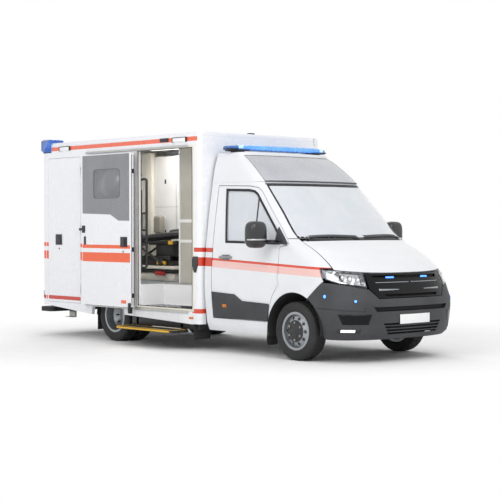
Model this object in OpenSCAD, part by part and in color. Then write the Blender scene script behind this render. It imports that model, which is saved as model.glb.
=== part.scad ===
// Box-bodied emergency ambulance on a light truck chassis cab with twin rear wheels.
// Millimetres. X points forward, Y to the vehicle's left, Z up. The origin is on the
// ground, halfway along the overall length and on the centre line.

/* [Chassis] */
// Distance between the axles
wheelbase = 3640; // [3500:10:3800]
// From the front axle to the tip of the front bumper
front_overhang = 1020; // [1000:5:1040]
// From the rear axle to the back of the body
rear_overhang = 1590; // [1500:10:1700]
// How far the rear step stands out behind the body
rear_step_depth = 270; // [200:10:320]
// Height of the frame rails' underside
rail_z = 500; // [490:5:510]
// Height of a frame rail
rail_h = 145; // [135:5:150]
// Width of a frame rail
rail_w = 80; // [60:5:90]
// Distance from the centre line to the middle of a rail
rail_y = 400; // [390:5:410]

/* [Wheels] */
// Outer diameter of the tyres
tyre_d = 700; // [690:2:706]
// Width of a tyre
tyre_w = 205; // [195:5:210]
// Diameter over the rim flanges
rim_d = 458; // [440:2:464]
// Distance between the front wheels' mid planes
front_track = 1760; // [1740:5:1780]
// Distance between the rear outer wheels' mid planes
rear_track = 1724; // [1710:2:1740]
// Distance between the two wheels of a rear pair
twin_spacing = 240; // [232:2:250]
// From a front wheel's mid plane to its steering axis
steer_offset = 80; // [75:1:85]
// Radius of the steering pin
kingpin_r = 20; // [16:1:24]
// Radius of the front stub axles
front_stub_r = 30; // [26:1:34]
// Radius of the rear axle ends
rear_stub_r = 40; // [36:1:44]
// Radius of the front wheel arches
front_arch_r = 460; // [455:1:465]

/* [Cab] */
// Thickness of the cab's side frames and doors
cab_wall = 50; // [40:2:56]
// Thickness of the bonnet and the wings
sheet_t = 22; // [16:1:26]
// Thickness of the glass
glass_t = 6; // [5:1:8]
// Gap between neighbouring panels
panel_gap = 8; // [6:1:10]
// From the front axle back to the rear of the cab
cab_back = 1620; // [1600:5:1630]
// Height of the windscreen's lower edge
screen_low_z = 1440; // [1430:2:1450]
// Height of the windscreen's upper edge
screen_high_z = 2100; // [2090:2:2110]
// Thickness of the cab's roof panel
cab_roof_t = 40; // [30:2:42]
// Height of the roof spoiler above the cab's roof panel
spoiler_h = 385; // [370:1:395]

/* [Body] */
// Width of the body
box_w = 2140; // [2120:2:2160]
// Height of the roof above the ground
box_top_z = 2797; // [2780:1:2810]
// From the front axle back to the body's front wall
box_front = 1655; // [1650:1:1670]
// Thickness of the body's walls
wall_t = 50; // [40:2:56]
// Thickness of the roof panel
roof_t = 52; // [44:2:60]
// Height of the patient compartment's floor
floor_z = 820; // [810:2:830]
// Thickness of the floor panel
floor_t = 55; // [45:1:60]
// Radius of the body's upright corners
corner_r = 60; // [52:2:64]
// Width of the side doorway
doorway_w = 1150; // [1100:5:1160]
// Height of the doorway's lower edge
doorway_low_z = 530; // [520:2:540]
// From the wall's top down to the side doorway's upper edge
doorway_head = 145; // [135:1:160]
// Distance from the front wall to the side doorway
doorway_post = 145; // [135:1:155]
// Thickness of the sliding door
slider_t = 52; // [44:2:56]
// Gap between the open sliding door and the wall
slider_gap = 45; // [40:1:50]
// Width of the outside locker's door
locker_w = 810; // [780:5:820]
// Height of the rear doorway's lower edge
rear_low_z = 720; // [700:2:730]
// From the wall's top down to the rear doorway's upper edge
rear_head = 95; // [90:1:115]
// Width of each rear corner post
rear_post = 75; // [70:1:80]
// Radius of the rear door and locker hinge barrels
hinge_r = 12; // [10:0.5:13]

/* [Hidden] */
$fn = 64;

overall_l = front_overhang + wheelbase + rear_overhang + rear_step_depth;
fx = overall_l / 2 - front_overhang;
rx = fx - wheelbase;
axle_z = tyre_d / 2;
hw = box_w / 2;
box_front_x = fx - box_front;
box_rear_x = rx - rear_overhang;
wall_top_z = box_top_z - roof_t;
doorway_high_z = wall_top_z - doorway_head;
rear_high_z = wall_top_z - rear_head;
cupboard_top_z = wall_top_z - 105;
cab_roof_z = screen_high_z + cab_roof_t;
spoiler_top_z = cab_roof_z + spoiler_h;
way_x1 = box_front_x - doorway_post;
way_x0 = way_x1 - doorway_w;
slider_x1 = way_x0 - 20;
slider_x0 = slider_x1 - doorway_w;
slider_y = hw + slider_gap;
locker_x0 = box_rear_x + rear_post + 45;
locker_x1 = locker_x0 + locker_w;
front_wheel_y = front_track / 2;
rear_wheel_y = rear_track / 2;
kingpin_y = front_wheel_y - steer_offset;
rail_top_z = rail_z + rail_h;
run_fit = 0.05;

// Cab skin in front-axle coordinates. One row per height:
// height, half width, x where the side turns into the nose, x of the nose, fullness of the plan curve
cab_rows = [
    [ 270,  930,  430,  905, 2.7],
    [ 330,  965,  430,  985, 2.7],
    [ 520,  990,  430, 1012, 2.8],
    [ 700, 1008,  420, front_overhang - 1.5, 2.8],
    [ 790, 1014,  400,  990, 2.7],
    [ 930, 1018,  340,  938, 2.6],
    [1045, 1014,  260,  882, 2.5],
    [1110, 1008,  200,  818, 2.5],
    [1200, 1000,  100,  690, 2.4],
    [1310,  992,  -40,  470, 2.4],
    [1440,  980, -260,  160, 2.5],
    [1780,  935, -590, -170, 2.6],
    [2100,  885, -900, -500, 2.7],
    [2150,  876, -940, -545, 2.7]
];

// Roof spoiler skin in the same columns
spoiler_rim_z = spoiler_top_z - 41;
spoiler_rows = [
    [cab_roof_z + 2, 880, -915, -515, 2.7],
    [cab_roof_z + spoiler_h * 0.416, 850, -1070, -745, 2.7],
    [cab_roof_z + spoiler_h * 0.727, 818, -1200, -950, 2.7],
    [spoiler_rim_z, 798, -1290, -1075, 2.6],
    [spoiler_top_z + 15, 770, -1380, -1200, 2.6]
];

function mix(a, b, t) = a + (b - a) * t;
function unit(v) = v / norm(v);
function seg(rows, z, i = 0) = (i >= len(rows) - 2 || z < rows[i + 1][0]) ? i : seg(rows, z, i + 1);
function slope(rows, i, c) = let(a = max(i - 1, 0), b = min(i + 1, len(rows) - 1))
    (rows[b][c] - rows[a][c]) / (rows[b][0] - rows[a][0]);
function smooth(rows, z, c) = let(
    i = seg(rows, z),
    h = rows[i + 1][0] - rows[i][0],
    t = (z - rows[i][0]) / h)
    (2 * t * t * t - 3 * t * t + 1) * rows[i][c] + (t * t * t - 2 * t * t + t) * h * slope(rows, i, c)
    + (3 * t * t - 2 * t * t * t) * rows[i + 1][c] + (t * t * t - t * t) * h * slope(rows, i + 1, c);

// Point of a skin at height z: s = 0 on the nose, 1 where the side begins, 2 at the cab's back
function skin(rows, z, s) = let(
    w = smooth(rows, z, 1), xs = smooth(rows, z, 2), xf = smooth(rows, z, 3), n = smooth(rows, z, 4),
    a = abs(s))
    a < 1
    ? [xs + (xf - xs) * pow(cos(90 * a), 2 / n), sign(s) * w * pow(sin(90 * a), 2 / n), z]
    : [mix(xs, -cab_back, a - 1), sign(s) * w, z];
function outward(rows, z, s) = let(d = 0.004, e = 3)
    unit(cross(skin(rows, z, s + d) - skin(rows, z, s - d), skin(rows, z + e, s) - skin(rows, z - e, s)));

// Sheet of even thickness on a skin, from s0 to s1 and between two heights given as functions of s
module patch(rows, s0, s1, ns, low, high, nz, depth, sink = 0) {
    grid = [for (layer = [0, 1]) for (i = [0:nz]) for (j = [0:ns]) let(
        s = mix(s0, s1, j / ns),
        z = mix(low(s), high(s), i / nz))
        skin(rows, z, s) - (sink + layer * depth) * outward(rows, z, s)];
    m = ns + 1;
    inner = m * (nz + 1);
    faces = [
        for (i = [0:nz - 1]) for (j = [0:ns - 1]) let(a = i * m + j)
            each [[a, a + m, a + m + 1], [a, a + m + 1, a + 1],
                [inner + a, inner + a + m + 1, inner + a + m], [inner + a, inner + a + 1, inner + a + m + 1]],
        for (j = [0:ns - 1]) let(t = nz * m + j)
            each [[j, j + 1, inner + j + 1], [j, inner + j + 1, inner + j],
                [t + 1, t, inner + t], [t + 1, inner + t, inner + t + 1]],
        for (i = [0:nz - 1]) let(a = i * m, b = i * m + ns)
            each [[a + m, a, inner + a], [a + m, inner + a, inner + a + m],
                [b, b + m, inner + b + m], [b, inner + b + m, inner + b]]
    ];
    polyhedron(points = grid, faces = faces, convexity = 6);
}

module both() {
    children();
    mirror([0, 1, 0]) children();
}

module at_cab() {
    translate([fx, 0, 0]) children();
}

// Side-view outline pushed through the left half, from y0 to y1
module side_cut(y0, y1) {
    translate([0, y1, 0]) rotate([90, 0, 0]) linear_extrude(height = y1 - y0) children();
}

// Front-view outline (y, z) pushed along x, from x0 to x1
module front_cut(x0, x1) {
    translate([x0, 0, 0]) rotate([90, 0, 90]) linear_extrude(height = x1 - x0) children();
}

module rounded(x0, y0, x1, y1, r) {
    translate([x0 + r, y0]) square([x1 - x0 - 2 * r, y1 - y0]);
    translate([x0, y0 + r]) square([x1 - x0, y1 - y0 - 2 * r]);
    for (x = [x0 + r, x1 - r]) for (y = [y0 + r, y1 - r]) translate([x, y]) circle(r = r);
}

module bar_y(x, z, y0, y1, r) {
    translate([x, y0, z]) rotate([-90, 0, 0]) cylinder(r = r, h = y1 - y0);
}

module bar_x(y, z, x0, x1, r) {
    translate([x0, y, z]) rotate([0, 90, 0]) cylinder(r = r, h = x1 - x0);
}

module block(x0, x1, y0, y1, z0, z1) {
    translate([x0, y0, z0]) cube([x1 - x0, y1 - y0, z1 - z0]);
}

// Ladder frame: rails, cross members, front beam and jacking pads
cross_x = [box_rear_x + 140, rx - 700, rx + 700, rx + 1500, fx - 1000];
jack_x = [rx + 760, fx - 620];
beam_x = fx + 790;

module chassis_frame() {
    color("#2b2c2e") union() {
        both() {
            block(box_rear_x + 100, beam_x, rail_y - rail_w / 2, rail_y + rail_w / 2, rail_z, rail_top_z);
            for (x = jack_x) translate([x, rail_y, rail_z - 22]) cylinder(r = 34, h = 24);
        }
        for (x = cross_x) block(x - 45, x + 45, -rail_y, rail_y, rail_z + 10, rail_top_z - 15);
        block(beam_x, beam_x + 50, -720, 720, rail_z, rail_top_z);
        block(box_rear_x + 80, box_rear_x + 120, -600, 600, rail_z + 10, rail_top_z);
    }
}

// Engine and gearbox as one plain mass on two mounts
module engine_block() {
    color("#55575a") union() {
        block(fx - 350, fx + 470, -290, 290, axle_z + 90, 990);
        bar_x(0, axle_z + 150, fx - 820, fx - 340, 88);
        both() block(fx - 60, fx + 60, 280, rail_y + 30, rail_top_z, rail_top_z + 45);
    }
}

// Front cross beam with an upper and a lower arm on each side and the steering pins between them
arm_t = 36;
pin_half = 120;

module front_axle() {
    color("#3a3b3d") union() {
        block(fx - 60, fx + 60, -640, 640, axle_z - 60, axle_z + 60);
        both() {
            block(fx - 60, fx + 60, rail_y - rail_w / 2, rail_y + rail_w / 2, axle_z + 50, rail_z);
            block(fx - 40, fx + 40, 560, 640, axle_z - pin_half, axle_z + pin_half);
            for (z = [axle_z - pin_half, axle_z + pin_half - arm_t]) {
                block(fx - 30, fx + 30, 600, kingpin_y, z, z + arm_t);
                translate([fx, kingpin_y, z]) cylinder(r = 34, h = arm_t);
            }
            translate([fx, kingpin_y, axle_z - pin_half]) cylinder(r = kingpin_r, h = 2 * pin_half);
        }
    }
}

// Steering knuckle: a sleeve on the pin and the stub axle for the wheel
module knuckle() {
    sleeve_half = pin_half - arm_t - 1;
    color("#4a4b4d") difference() {
        union() {
            translate([fx, kingpin_y, axle_z - sleeve_half]) cylinder(r = 44, h = 2 * sleeve_half);
            bar_y(fx, axle_z, kingpin_y, front_wheel_y + 62, front_stub_r);
            bar_y(fx, axle_z, kingpin_y + 30, front_wheel_y - 22, 60);
        }
        translate([fx, kingpin_y, axle_z - 200]) cylinder(r = kingpin_r + run_fit, h = 400);
    }
}
module knuckle_left() { knuckle(); }
module knuckle_right() { mirror([0, 1, 0]) knuckle(); }

// Rear live axle on leaf springs; its ends carry the twin wheels
module rear_axle() {
    end_y = rear_wheel_y - twin_spacing / 2 + 30;
    spring = [[-640, rail_z], [-520, rail_z], [-240, axle_z + 105], [240, axle_z + 105], [520, rail_z],
        [640, rail_z], [640, rail_z - 30], [500, rail_z - 35], [240, axle_z + 52], [-240, axle_z + 52],
        [-500, rail_z - 35], [-640, rail_z - 30]];
    color("#34363a") union() {
        bar_y(rx, axle_z, -490, 490, 58);
        translate([rx, 0, axle_z]) sphere(r = 150);
        bar_y(rx, axle_z, -end_y, end_y, rear_stub_r);
        both() translate([rx, 0, 0]) side_cut(rail_y - 30, rail_y + 35) polygon(spring);
    }
}

// Fuel tank hung on the left rail
module fuel_tank() {
    color("#3c3e40") side_tank(-250, 620, rail_y + rail_w / 2, hw - 210, 300, 560);
}

module side_tank(x0, x1, y0, y1, z0, z1) {
    translate([x0, 0, 0]) front_cut(0, x1 - x0) rounded(y0, z0, y1, z1, 40);
}

// Exhaust: pipe from the engine, silencer and tail pipe, on hangers under the cross members
module exhaust() {
    y = -230;
    z = rail_z - 42;
    color("#6d6f72") union() {
        bar_x(y, z, box_rear_x + 90, fx - 420, 30);
        bar_x(y, z - 40, rx + 780, rx + 1420, 88);
        for (x = [cross_x[0], cross_x[2], cross_x[4]]) block(x - 15, x + 15, y - 12, y + 12, z, rail_z + 10);
    }
}

// Wheel profiles, (radius, offset from the wheel's mid plane, outside positive)
bead_r = rim_d / 2 - 22;
tyre_half = tyre_w / 2;

module tyre_profile() {
    r = tyre_d / 2;
    difference() {
        polygon([[bead_r, -84], [rim_d / 2 - 1, -84], [rim_d / 2 + 20, -97], [r - 62, -tyre_half],
            [r - 24, -tyre_half + 3], [r - 6, -tyre_half + 16], [r, -tyre_half + 32], [r, tyre_half - 32],
            [r - 6, tyre_half - 16], [r - 24, tyre_half - 3], [r - 62, tyre_half], [rim_d / 2 + 20, 97],
            [rim_d / 2 - 1, 84], [bead_r, 84]]);
        for (a = [-38, 0, 38]) translate([r - 8, a - 4]) square([10, 8]);
    }
}

module rim_profile() {
    polygon([[bead_r - 8, -92], [rim_d / 2, -92], [rim_d / 2, -85], [bead_r - 0.3, -85], [bead_r - 0.3, 85],
        [rim_d / 2, 85], [rim_d / 2, 92], [bead_r - 8, 92]]);
}

module wheel_at(x, y) {
    translate([x, y, axle_z]) rotate([-90, 0, 0]) children();
}

// Front wheel: disc bulging outwards to a flat centre with ten hand holes
module front_rim() {
    color("#b9bcc0") wheel_at(fx, front_wheel_y) difference() {
        rotate_extrude() {
            rim_profile();
            polygon([[bead_r - 6, 30], [bead_r - 6, 52], [186, 64], [124, 92], [92, 96], [0, 96], [0, 63],
                [front_stub_r + run_fit, 63], [front_stub_r + run_fit, -20], [84, -20], [84, 76], [118, 74],
                [176, 48]]);
        }
        for (i = [0:9]) rotate(36 * i) translate([154, 0, 20]) cylinder(r = 15, h = 90);
    }
}
module front_rim_left() { front_rim(); }
module front_rim_right() { mirror([0, 1, 0]) front_rim(); }

module front_tyre() {
    color("#222325") wheel_at(fx, front_wheel_y) rotate_extrude() tyre_profile();
}
module front_tyre_left() { front_tyre(); }
module front_tyre_right() { mirror([0, 1, 0]) front_tyre(); }

// Rear pair: both discs meet halfway between the wheels, so that the outer one is deep
module rear_rims() {
    m = twin_spacing / 2;
    color("#b9bcc0") wheel_at(rx, rear_wheel_y) difference() {
        union() {
            for (a = [0, -twin_spacing]) translate([0, 0, a]) rotate_extrude() rim_profile();
            rotate_extrude() {
                polygon([[bead_r - 6, -30], [bead_r - 6, -48], [140, -m - 1], [rear_stub_r + run_fit, -m - 1],
                    [rear_stub_r + run_fit, 32 - m], [0, 32 - m], [0, 52 - m], [88, 52 - m], [96, 12 - m],
                    [132, 12 - m]]);
                polygon([[bead_r - 6, 30 - 2 * m], [bead_r - 6, 48 - 2 * m], [140, 1 - m],
                    [rear_stub_r + run_fit, 1 - m], [rear_stub_r + run_fit, -m - 10], [132, -m - 10]]);
            }
        }
        for (i = [0:9]) rotate(36 * i) translate([160, 0, -m - 80]) cylinder(r = 14, h = 160);
    }
}
module rear_rims_left() { rear_rims(); }
module rear_rims_right() { mirror([0, 1, 0]) rear_rims(); }

module rear_tyres() {
    color("#222325") wheel_at(rx, rear_wheel_y) for (a = [0, -twin_spacing])
        translate([0, 0, a]) rotate_extrude() tyre_profile();
}
module rear_tyres_left() { rear_tyres(); }
module rear_tyres_right() { mirror([0, 1, 0]) rear_tyres(); }

// Side-view outlines of the cab in front-axle coordinates, (x, height)
door_edge = [[-1480, 440], [-470, 440], [-455, 520], [-425, 640], [-375, 745], [-310, 830], [-274, 880],
    [-268, 940], [-266, 1325], [-235, 1352], [-125, 1366], [-108, 1384], [-155, 1445], [-690, 2020],
    [-755, 2062], [-900, 2084], [-1480, 2100]];
window_edge = [[-1238, 1396], [-262, 1384], [-228, 1430], [-738, 1985], [-800, 2020], [-900, 2036],
    [-1322, 2050]];
cladding_edge = [[-1480, 440], [-470, 440], [-455, 520], [-425, 640], [-440, 655], [-914, 671], [-1050, 748],
    [-1480, 766]];
mirror_base_edge = [[-330, 1386], [-140, 1370], [-118, 1386], [-300, 1580]];
hinge_x = -264;
hinge_y = 1018;
cab_hinge_r = 10;
door_hinge_z = [900, 1035];
screen_s = 0.705;
bonnet_s = 0.675;
wing_t = 14;
bonnet_axis_x = 0;
bonnet_axis_z = 1403;
bonnet_pin_r = 6;

module front_arches(r) {
    bar_y(0, axle_z, -1200, 1200, r);
}

// Barrels on an upright hinge axis, one set per height: part 0 is fixed, part 1 turns between its halves
module barrels(x, y, heights, r, half, part, grow) {
    for (z = heights) translate([x, y, z])
        if (part == 1) translate([0, 0, -half - grow]) cylinder(r = r + grow, h = 2 * (half + grow));
        else for (d = [-2 * half - 2, half + 2])
            translate([0, 0, d - grow]) cylinder(r = r + grow, h = half + 2 * grow);
}

// The pins through the barrels, or with clear = run_fit their bores
module barrel_pins(x, y, heights, r, half, clear) {
    for (z = heights) translate([x, y, z - half - 8]) cylinder(r = r * 0.45 + clear, h = 2 * half + 16);
}

module door_barrels(part, grow) {
    barrels(hinge_x, hinge_y, door_hinge_z, cab_hinge_r, 20, part, grow);
}

module door_pins(clear) {
    barrel_pins(hinge_x, hinge_y, door_hinge_z, cab_hinge_r, 20, clear);
}

// Floor, toe board, rear wall and roof of the cab
module cab_tub() {
    back = [[-930, rail_top_z], [-958, 1000], [-926, 1430], [-826, 2100], [826, 2100], [926, 1430], [958, 1000],
        [930, rail_top_z]];
    roof = [for (i = [-20:20])
        let(p = skin(cab_rows, cab_roof_z, i / 20) - (cab_wall + 3) * outward(cab_rows, cab_roof_z, i / 20))
        [p[0], p[1]]];
    color("#e8e9ea") at_cab() union() {
        block(-cab_back, -440, -925, 925, rail_top_z, rail_top_z + 55);
        block(-cab_back, -1495, -949, 949, rail_top_z, rail_top_z + 55);
        block(-470, -440, -925, 925, rail_top_z, 1250);
        front_cut(-cab_back, -cab_back + 30) polygon(back);
        translate([0, 0, screen_high_z]) linear_extrude(height = cab_roof_t)
            polygon(concat(roof, [[-cab_back, 822], [-cab_back, -822]]));
        patch(cab_rows, -screen_s + 0.006, screen_s - 0.006, 16, function(s) screen_high_z,
            function(s) cab_roof_z, 1, 60);
    }
}

// Side frame: windscreen pillar, rail over the door, rear pillar and sill
module body_side() {
    color("#e8e9ea") at_cab() difference() {
        intersection() {
            patch(cab_rows, screen_s, 2, 13, function(s) 272, function(s) cab_roof_z, 18, cab_wall);
            side_cut(600, 1200) polygon([[-cab_back, 272], [-462, 272], [-462, 1446], [300, 1446], [300, 2200],
                [-cab_back, 2200]]);
        }
        side_cut(600, 1200) offset(delta = panel_gap) polygon(door_edge);
        side_cut(600, 1200) polygon([[-1494, 445], [-1400, 445], [-1400, 2095], [-1494, 2095]]);
        front_arches(front_arch_r);
    }
}
module body_side_left() { body_side(); }
module body_side_right() { mirror([0, 1, 0]) body_side(); }

// Wings with their brackets to the toe board and the fixed door hinge barrels
module front_wings() {
    color("#e8e9ea") at_cab() both() {
        difference() {
            union() {
                difference() {
                    intersection() {
                        patch(cab_rows, bonnet_s + 0.015, 1.46, 14, function(s) 440, function(s) 1438, 18, wing_t);
                        side_cut(600, 1200) polygon([[-462, 440], [236, 440], [236, 750], [484, 948], [408, 1104],
                            [800, 1104], [800, 1438], [-462, 1438]]);
                    }
                    side_cut(600, 1200) offset(delta = panel_gap) polygon(door_edge);
                    front_arches(front_arch_r);
                }
                door_barrels(0, 0);
            }
            door_barrels(1, 5);
        }
        door_pins(0);
        bar_y(bonnet_axis_x, bonnet_axis_z, 798, 920, bonnet_pin_r);
        block(-440, -205, 880, 930, 1150, 1200);
        block(-245, -205, 880, 992, 1150, 1200);
    }
}

// Bonnet hinged at its rear corners
module bonnet() {
    color("#e8e9ea") at_cab() difference() {
        union() {
            patch(cab_rows, -bonnet_s, bonnet_s, 24, function(s) 1050 + 38 * pow(s / bonnet_s, 2),
                function(s) 1418 - 10 * pow(s / bonnet_s, 2), 12, sheet_t);
            both() {
                bar_y(bonnet_axis_x, bonnet_axis_z, 800, 830, 14);
                block(bonnet_axis_x, 110, 800, 830, bonnet_axis_z - 22, bonnet_axis_z - 6);
            }
        }
        both() bar_y(bonnet_axis_x, bonnet_axis_z, 700, 900, bonnet_pin_r + run_fit);
    }
}

// Bumper skin with its slots and the brackets to the front beam; its upper edge as (y, height)
bumper_line = [[555, 752], [655, 862], [800, 888], [1000, 936], [1300, 936]];

module front_bumper() {
    color("#4a4b4e") at_cab() union() {
        difference() {
            patch(cab_rows, -1.12, 1.12, 40, function(s) 276, function(s) 944, 14, 30);
            both() front_cut(100, 1200)
                polygon(concat(bumper_line, [[1300, 1100], [-1, 1100], [-1, bumper_line[0][1]]]));
            both() side_cut(600, 1200) polygon([[480, 940], [236, 744], [0, 744], [0, 1000], [480, 1000]]);
            front_arches(front_arch_r);
            front_cut(600, 1200) polygon([[-640, 660], [-600, 606], [600, 606], [640, 660]]);
            for (i = [0:3]) front_cut(600, 1200) polygon([[-500 + 22 * i, 470 - 36 * i],
                [500 - 22 * i, 470 - 36 * i], [484 - 22 * i, 446 - 36 * i], [22 * i - 484, 446 - 36 * i]]);
        }
        both() block(beam_x + 50 - fx, 985, 380, 420, 530, 590);
    }
}

// Grille shell in front of the radiator pack, which stands on the front beam
module grille() {
    edge = [[-640, 1060], [-640, 870], [-545, 760], [545, 760], [640, 870], [640, 1060]];
    color("#1a1b1d") at_cab() union() {
        difference() {
            intersection() {
                patch(cab_rows, -0.384, 0.384, 20, function(s) 757, function(s) 1043, 6, 26, 5);
                front_cut(400, 1200) polygon(edge);
            }
            front_cut(400, 1200) polygon([[-560, 1018], [-540, 982], [540, 982], [560, 1018]]);
            front_cut(400, 1200) polygon([[-460, 802], [-430, 776], [430, 776], [460, 802]]);
        }
        block(700, 780, -430, 430, rail_top_z, 990);
        for (b = [[836, 955], [930, 918]]) block(760, b[1], -300, 300, b[0], b[0] + 20);
    }
}

// Lamp bodies behind clear covers, on arms from the radiator pack
module headlamps() {
    under = concat([for (q = bumper_line) [q[0], q[1] + 5]], [[1300, 700], [555, 700]]);
    color("#d6dde2") at_cab() both() {
        intersection() {
            patch(cab_rows, 0.392, 0.9, 12, function(s) s < 0.7 ? mix(872, 920, (s - 0.392) / 0.308)
                : mix(920, 1004, (s - 0.7) / 0.2),
                function(s) min(1042 + 38 * pow(s / bonnet_s, 2), 1096), 5, 70, 2);
            difference() {
                side_cut(400, 1200) polygon([[415, 1120], [502, 930], [560, 840], [960, 840], [960, 1120]]);
                front_cut(300, 1200) polygon(under);
            }
        }
        block(740, 775, 430, 680, 940, 970);
        block(740, 800, 640, 680, 940, 970);
    }
}

module windscreen() {
    color("#9fb3bd", 0.5) at_cab() patch(cab_rows, -screen_s + 0.004, screen_s - 0.004, 24,
        function(s) screen_low_z + 8, function(s) screen_high_z - 0.4, 10, glass_t, 3);
}

// Dark panel between bonnet and windscreen, with two wipers parked on the glass, each between two s values
wipers = [[-0.53, -0.02], [0.02, 0.53]];
wiper_z = screen_low_z + 4;

module cowl_and_wipers() {
    color("#1c1d1f") at_cab() union() {
        difference() {
            patch(cab_rows, -0.66, 0.66, 16, function(s) 1426 - 8 * pow(s / 0.66, 2),
                function(s) screen_low_z + 7, 1, 60, 2);
            both() block(-60, 160, 790, 920, 1370, 1440);
        }
        for (w = wipers) {
            patch(cab_rows, w[0], w[1], 10, function(s) wiper_z + 12 * sin(180 * (s - w[0]) / (w[1] - w[0])),
                function(s) wiper_z + 16 + 12 * sin(180 * (s - w[0]) / (w[1] - w[0])), 1, 9, -9);
            patch(cab_rows, w[1] - 0.03, w[1], 1, function(s) wiper_z - 12, function(s) wiper_z + 2, 1, 14, -9);
        }
    }
}

// Door panel with the window opening and its hinge barrels
module door_sheet(sink, depth) {
    patch(cab_rows, 0.84, 2, 12, function(s) 432, function(s) 2108, 20, depth, sink);
}

module door() {
    color("#e8e9ea") at_cab() difference() {
        union() {
            difference() {
                intersection() {
                    door_sheet(0, cab_wall);
                    side_cut(600, 1200) polygon(door_edge);
                }
                side_cut(600, 1200) polygon(window_edge);
            }
            door_barrels(1, 0);
        }
        door_barrels(0, 5);
        door_pins(run_fit);
    }
}
module door_left() { door(); }
module door_right() { mirror([0, 1, 0]) door(); }

module door_glass() {
    color("#9fb3bd", 0.5) at_cab() intersection() {
        door_sheet(12, glass_t);
        side_cut(600, 1200) offset(delta = -0.4) polygon(window_edge);
    }
}
module door_glass_left() { door_glass(); }
module door_glass_right() { mirror([0, 1, 0]) door_glass(); }

// Dark lower cladding, handle, mirror foot, arm and mirror head of a cab door
module door_trim() {
    color("#3c3d40") at_cab() union() {
        intersection() {
            door_sheet(-12, 12);
            side_cut(600, 1200) polygon(cladding_edge);
        }
        intersection() {
            door_sheet(-14, 14);
            side_cut(600, 1200) polygon(mirror_base_edge);
        }
        block(-1350, -1106, 1001.9, 1032, 1182, 1222);
        block(-410, -210, 985, 1100, 1392, 1428);
        hull() for (x = [-500, -370]) for (y = [1110, 1312]) for (z = [1360, 1620])
            translate([x, y, z]) sphere(r = 32, $fn = 20);
    }
}
module door_trim_left() { door_trim(); }
module door_trim_right() { mirror([0, 1, 0]) door_trim(); }

// Dashboard shelf on the toe board, with the steering column
wheel_pos = [-700, 400, 1220];
wheel_tilt = 45;
spigot_r = 14;

module at_steering_wheel() {
    translate([fx, 0, 0]) translate(wheel_pos) rotate([0, -wheel_tilt, 0]) children();
}

module dashboard() {
    profile = [[-60, 1396], [-300, 1402], [-430, 1372], [-520, 1290], [-508, 1120], [-490, 990], [-470, 990],
        [-470, 1250], [-440, 1250], [-60, 1340]];
    color("#4b4d50") union() {
        at_cab() side_cut(-790, 790) polygon(profile);
        at_steering_wheel() {
            translate([0, 0, -284]) cylinder(r = 40, h = 244);
            translate([0, 0, -60]) cylinder(r = spigot_r, h = 48);
        }
    }
}

module steering_wheel() {
    color("#26272a") at_steering_wheel() difference() {
        union() {
            rotate_extrude() translate([185, 0]) circle(r = 15, $fn = 24);
            for (a = [0, 120, 240]) rotate(a) translate([0, -18, -14]) cube([182, 36, 14]);
            translate([0, 0, -38]) cylinder(r = 62, h = 40);
        }
        translate([0, 0, -39]) cylinder(r = spigot_r + run_fit, h = 29);
    }
}

// Two seats: box base, cushion, backrest and headrest
module seats() {
    side = [[-1400, 700], [-940, 700], [-940, 980], [-860, 1010], [-850, 1090], [-900, 1120], [-1290, 1100],
        [-1400, 1500], [-1440, 1720], [-1450, 1770], [-1440, 1930], [-1500, 1960], [-1545, 1930], [-1540, 1700],
        [-1440, 1000], [-1420, 960]];
    color("#5a5c60") at_cab() for (y = [400, -400]) side_cut(y - 240, y + 240) polygon(side);
}

// Roof spoiler shell and deck; the grey front panel is a piece of its own
spoiler_panel_s = 0.71;

module spoiler_outline(inset) {
    polygon([for (i = [-40:40]) let(s = i / 20, p = skin(spoiler_rows, spoiler_rim_z, s)
        - inset * outward(spoiler_rows, spoiler_rim_z, s)) [max(p[0], -cab_back), p[1]]]);
}

module below_spoiler() {
    block(-cab_back - 10, 0, -1000, 1000, cab_roof_z - 60, cab_roof_z + 0.4);
}

module roof_spoiler() {
    color("#e8e9ea") at_cab() union() {
        difference() {
            both() patch(spoiler_rows, spoiler_panel_s + 0.005, 2, 11, function(s) cab_roof_z,
                function(s) spoiler_rim_z + 2, 6, 20);
            below_spoiler();
        }
        translate([0, 0, spoiler_rim_z]) linear_extrude(height = 24) spoiler_outline(0);
        translate([0, 0, spoiler_rim_z + 22]) linear_extrude(height = 19) spoiler_outline(28);
    }
}

module spoiler_panel() {
    color("#b4b6bc") at_cab() difference() {
        patch(spoiler_rows, -spoiler_panel_s, spoiler_panel_s, 16, function(s) cab_roof_z + 12,
            function(s) spoiler_rim_z - 0.4, 6, 20, 1);
        below_spoiler();
    }
}

// Blue beacon bar on two feet
module light_bar() {
    color("#2a4fb0") at_cab() union() {
        side_cut(-875, 875) rounded(-1520, spoiler_top_z + 27, -1240, spoiler_top_z + 102, 30);
        both() block(-1470, -1290, 636, 704, spoiler_top_z, spoiler_top_z + 40);
    }
}

// Body: side-wall outline from the rear post to the front post, (x, height)
rear_arch_r = 385;
wall_x0 = box_rear_x + rear_post;
wall_edge = [[way_x1, 336], [rx + 440, 388], [rx + 300, 388], [rx - 300, 352], [wall_x0, 447],
    [wall_x0, wall_top_z], [way_x1, wall_top_z]];
lamp_x1 = box_rear_x + 200;
lamp_y0 = hw - 210;
lamp_z0 = wall_top_z - 80;
locker_low_z = 500;
locker_high_z = doorway_high_z - 29;
locker_t = 40;
locker_hinge_z = [locker_low_z + 200, (locker_low_z + locker_high_z) / 2, locker_high_z - 191];
locker_hinge_r = 9;
locker_axis_y = hw + 6;
rear_hinge_z = [rear_low_z + 95, (rear_low_z + rear_high_z) / 2 - 125, rear_high_z - 195];
rear_axis_x = box_rear_x - 8;
rear_axis_y = hw - rear_post;
leaf_t = 50;

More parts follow.
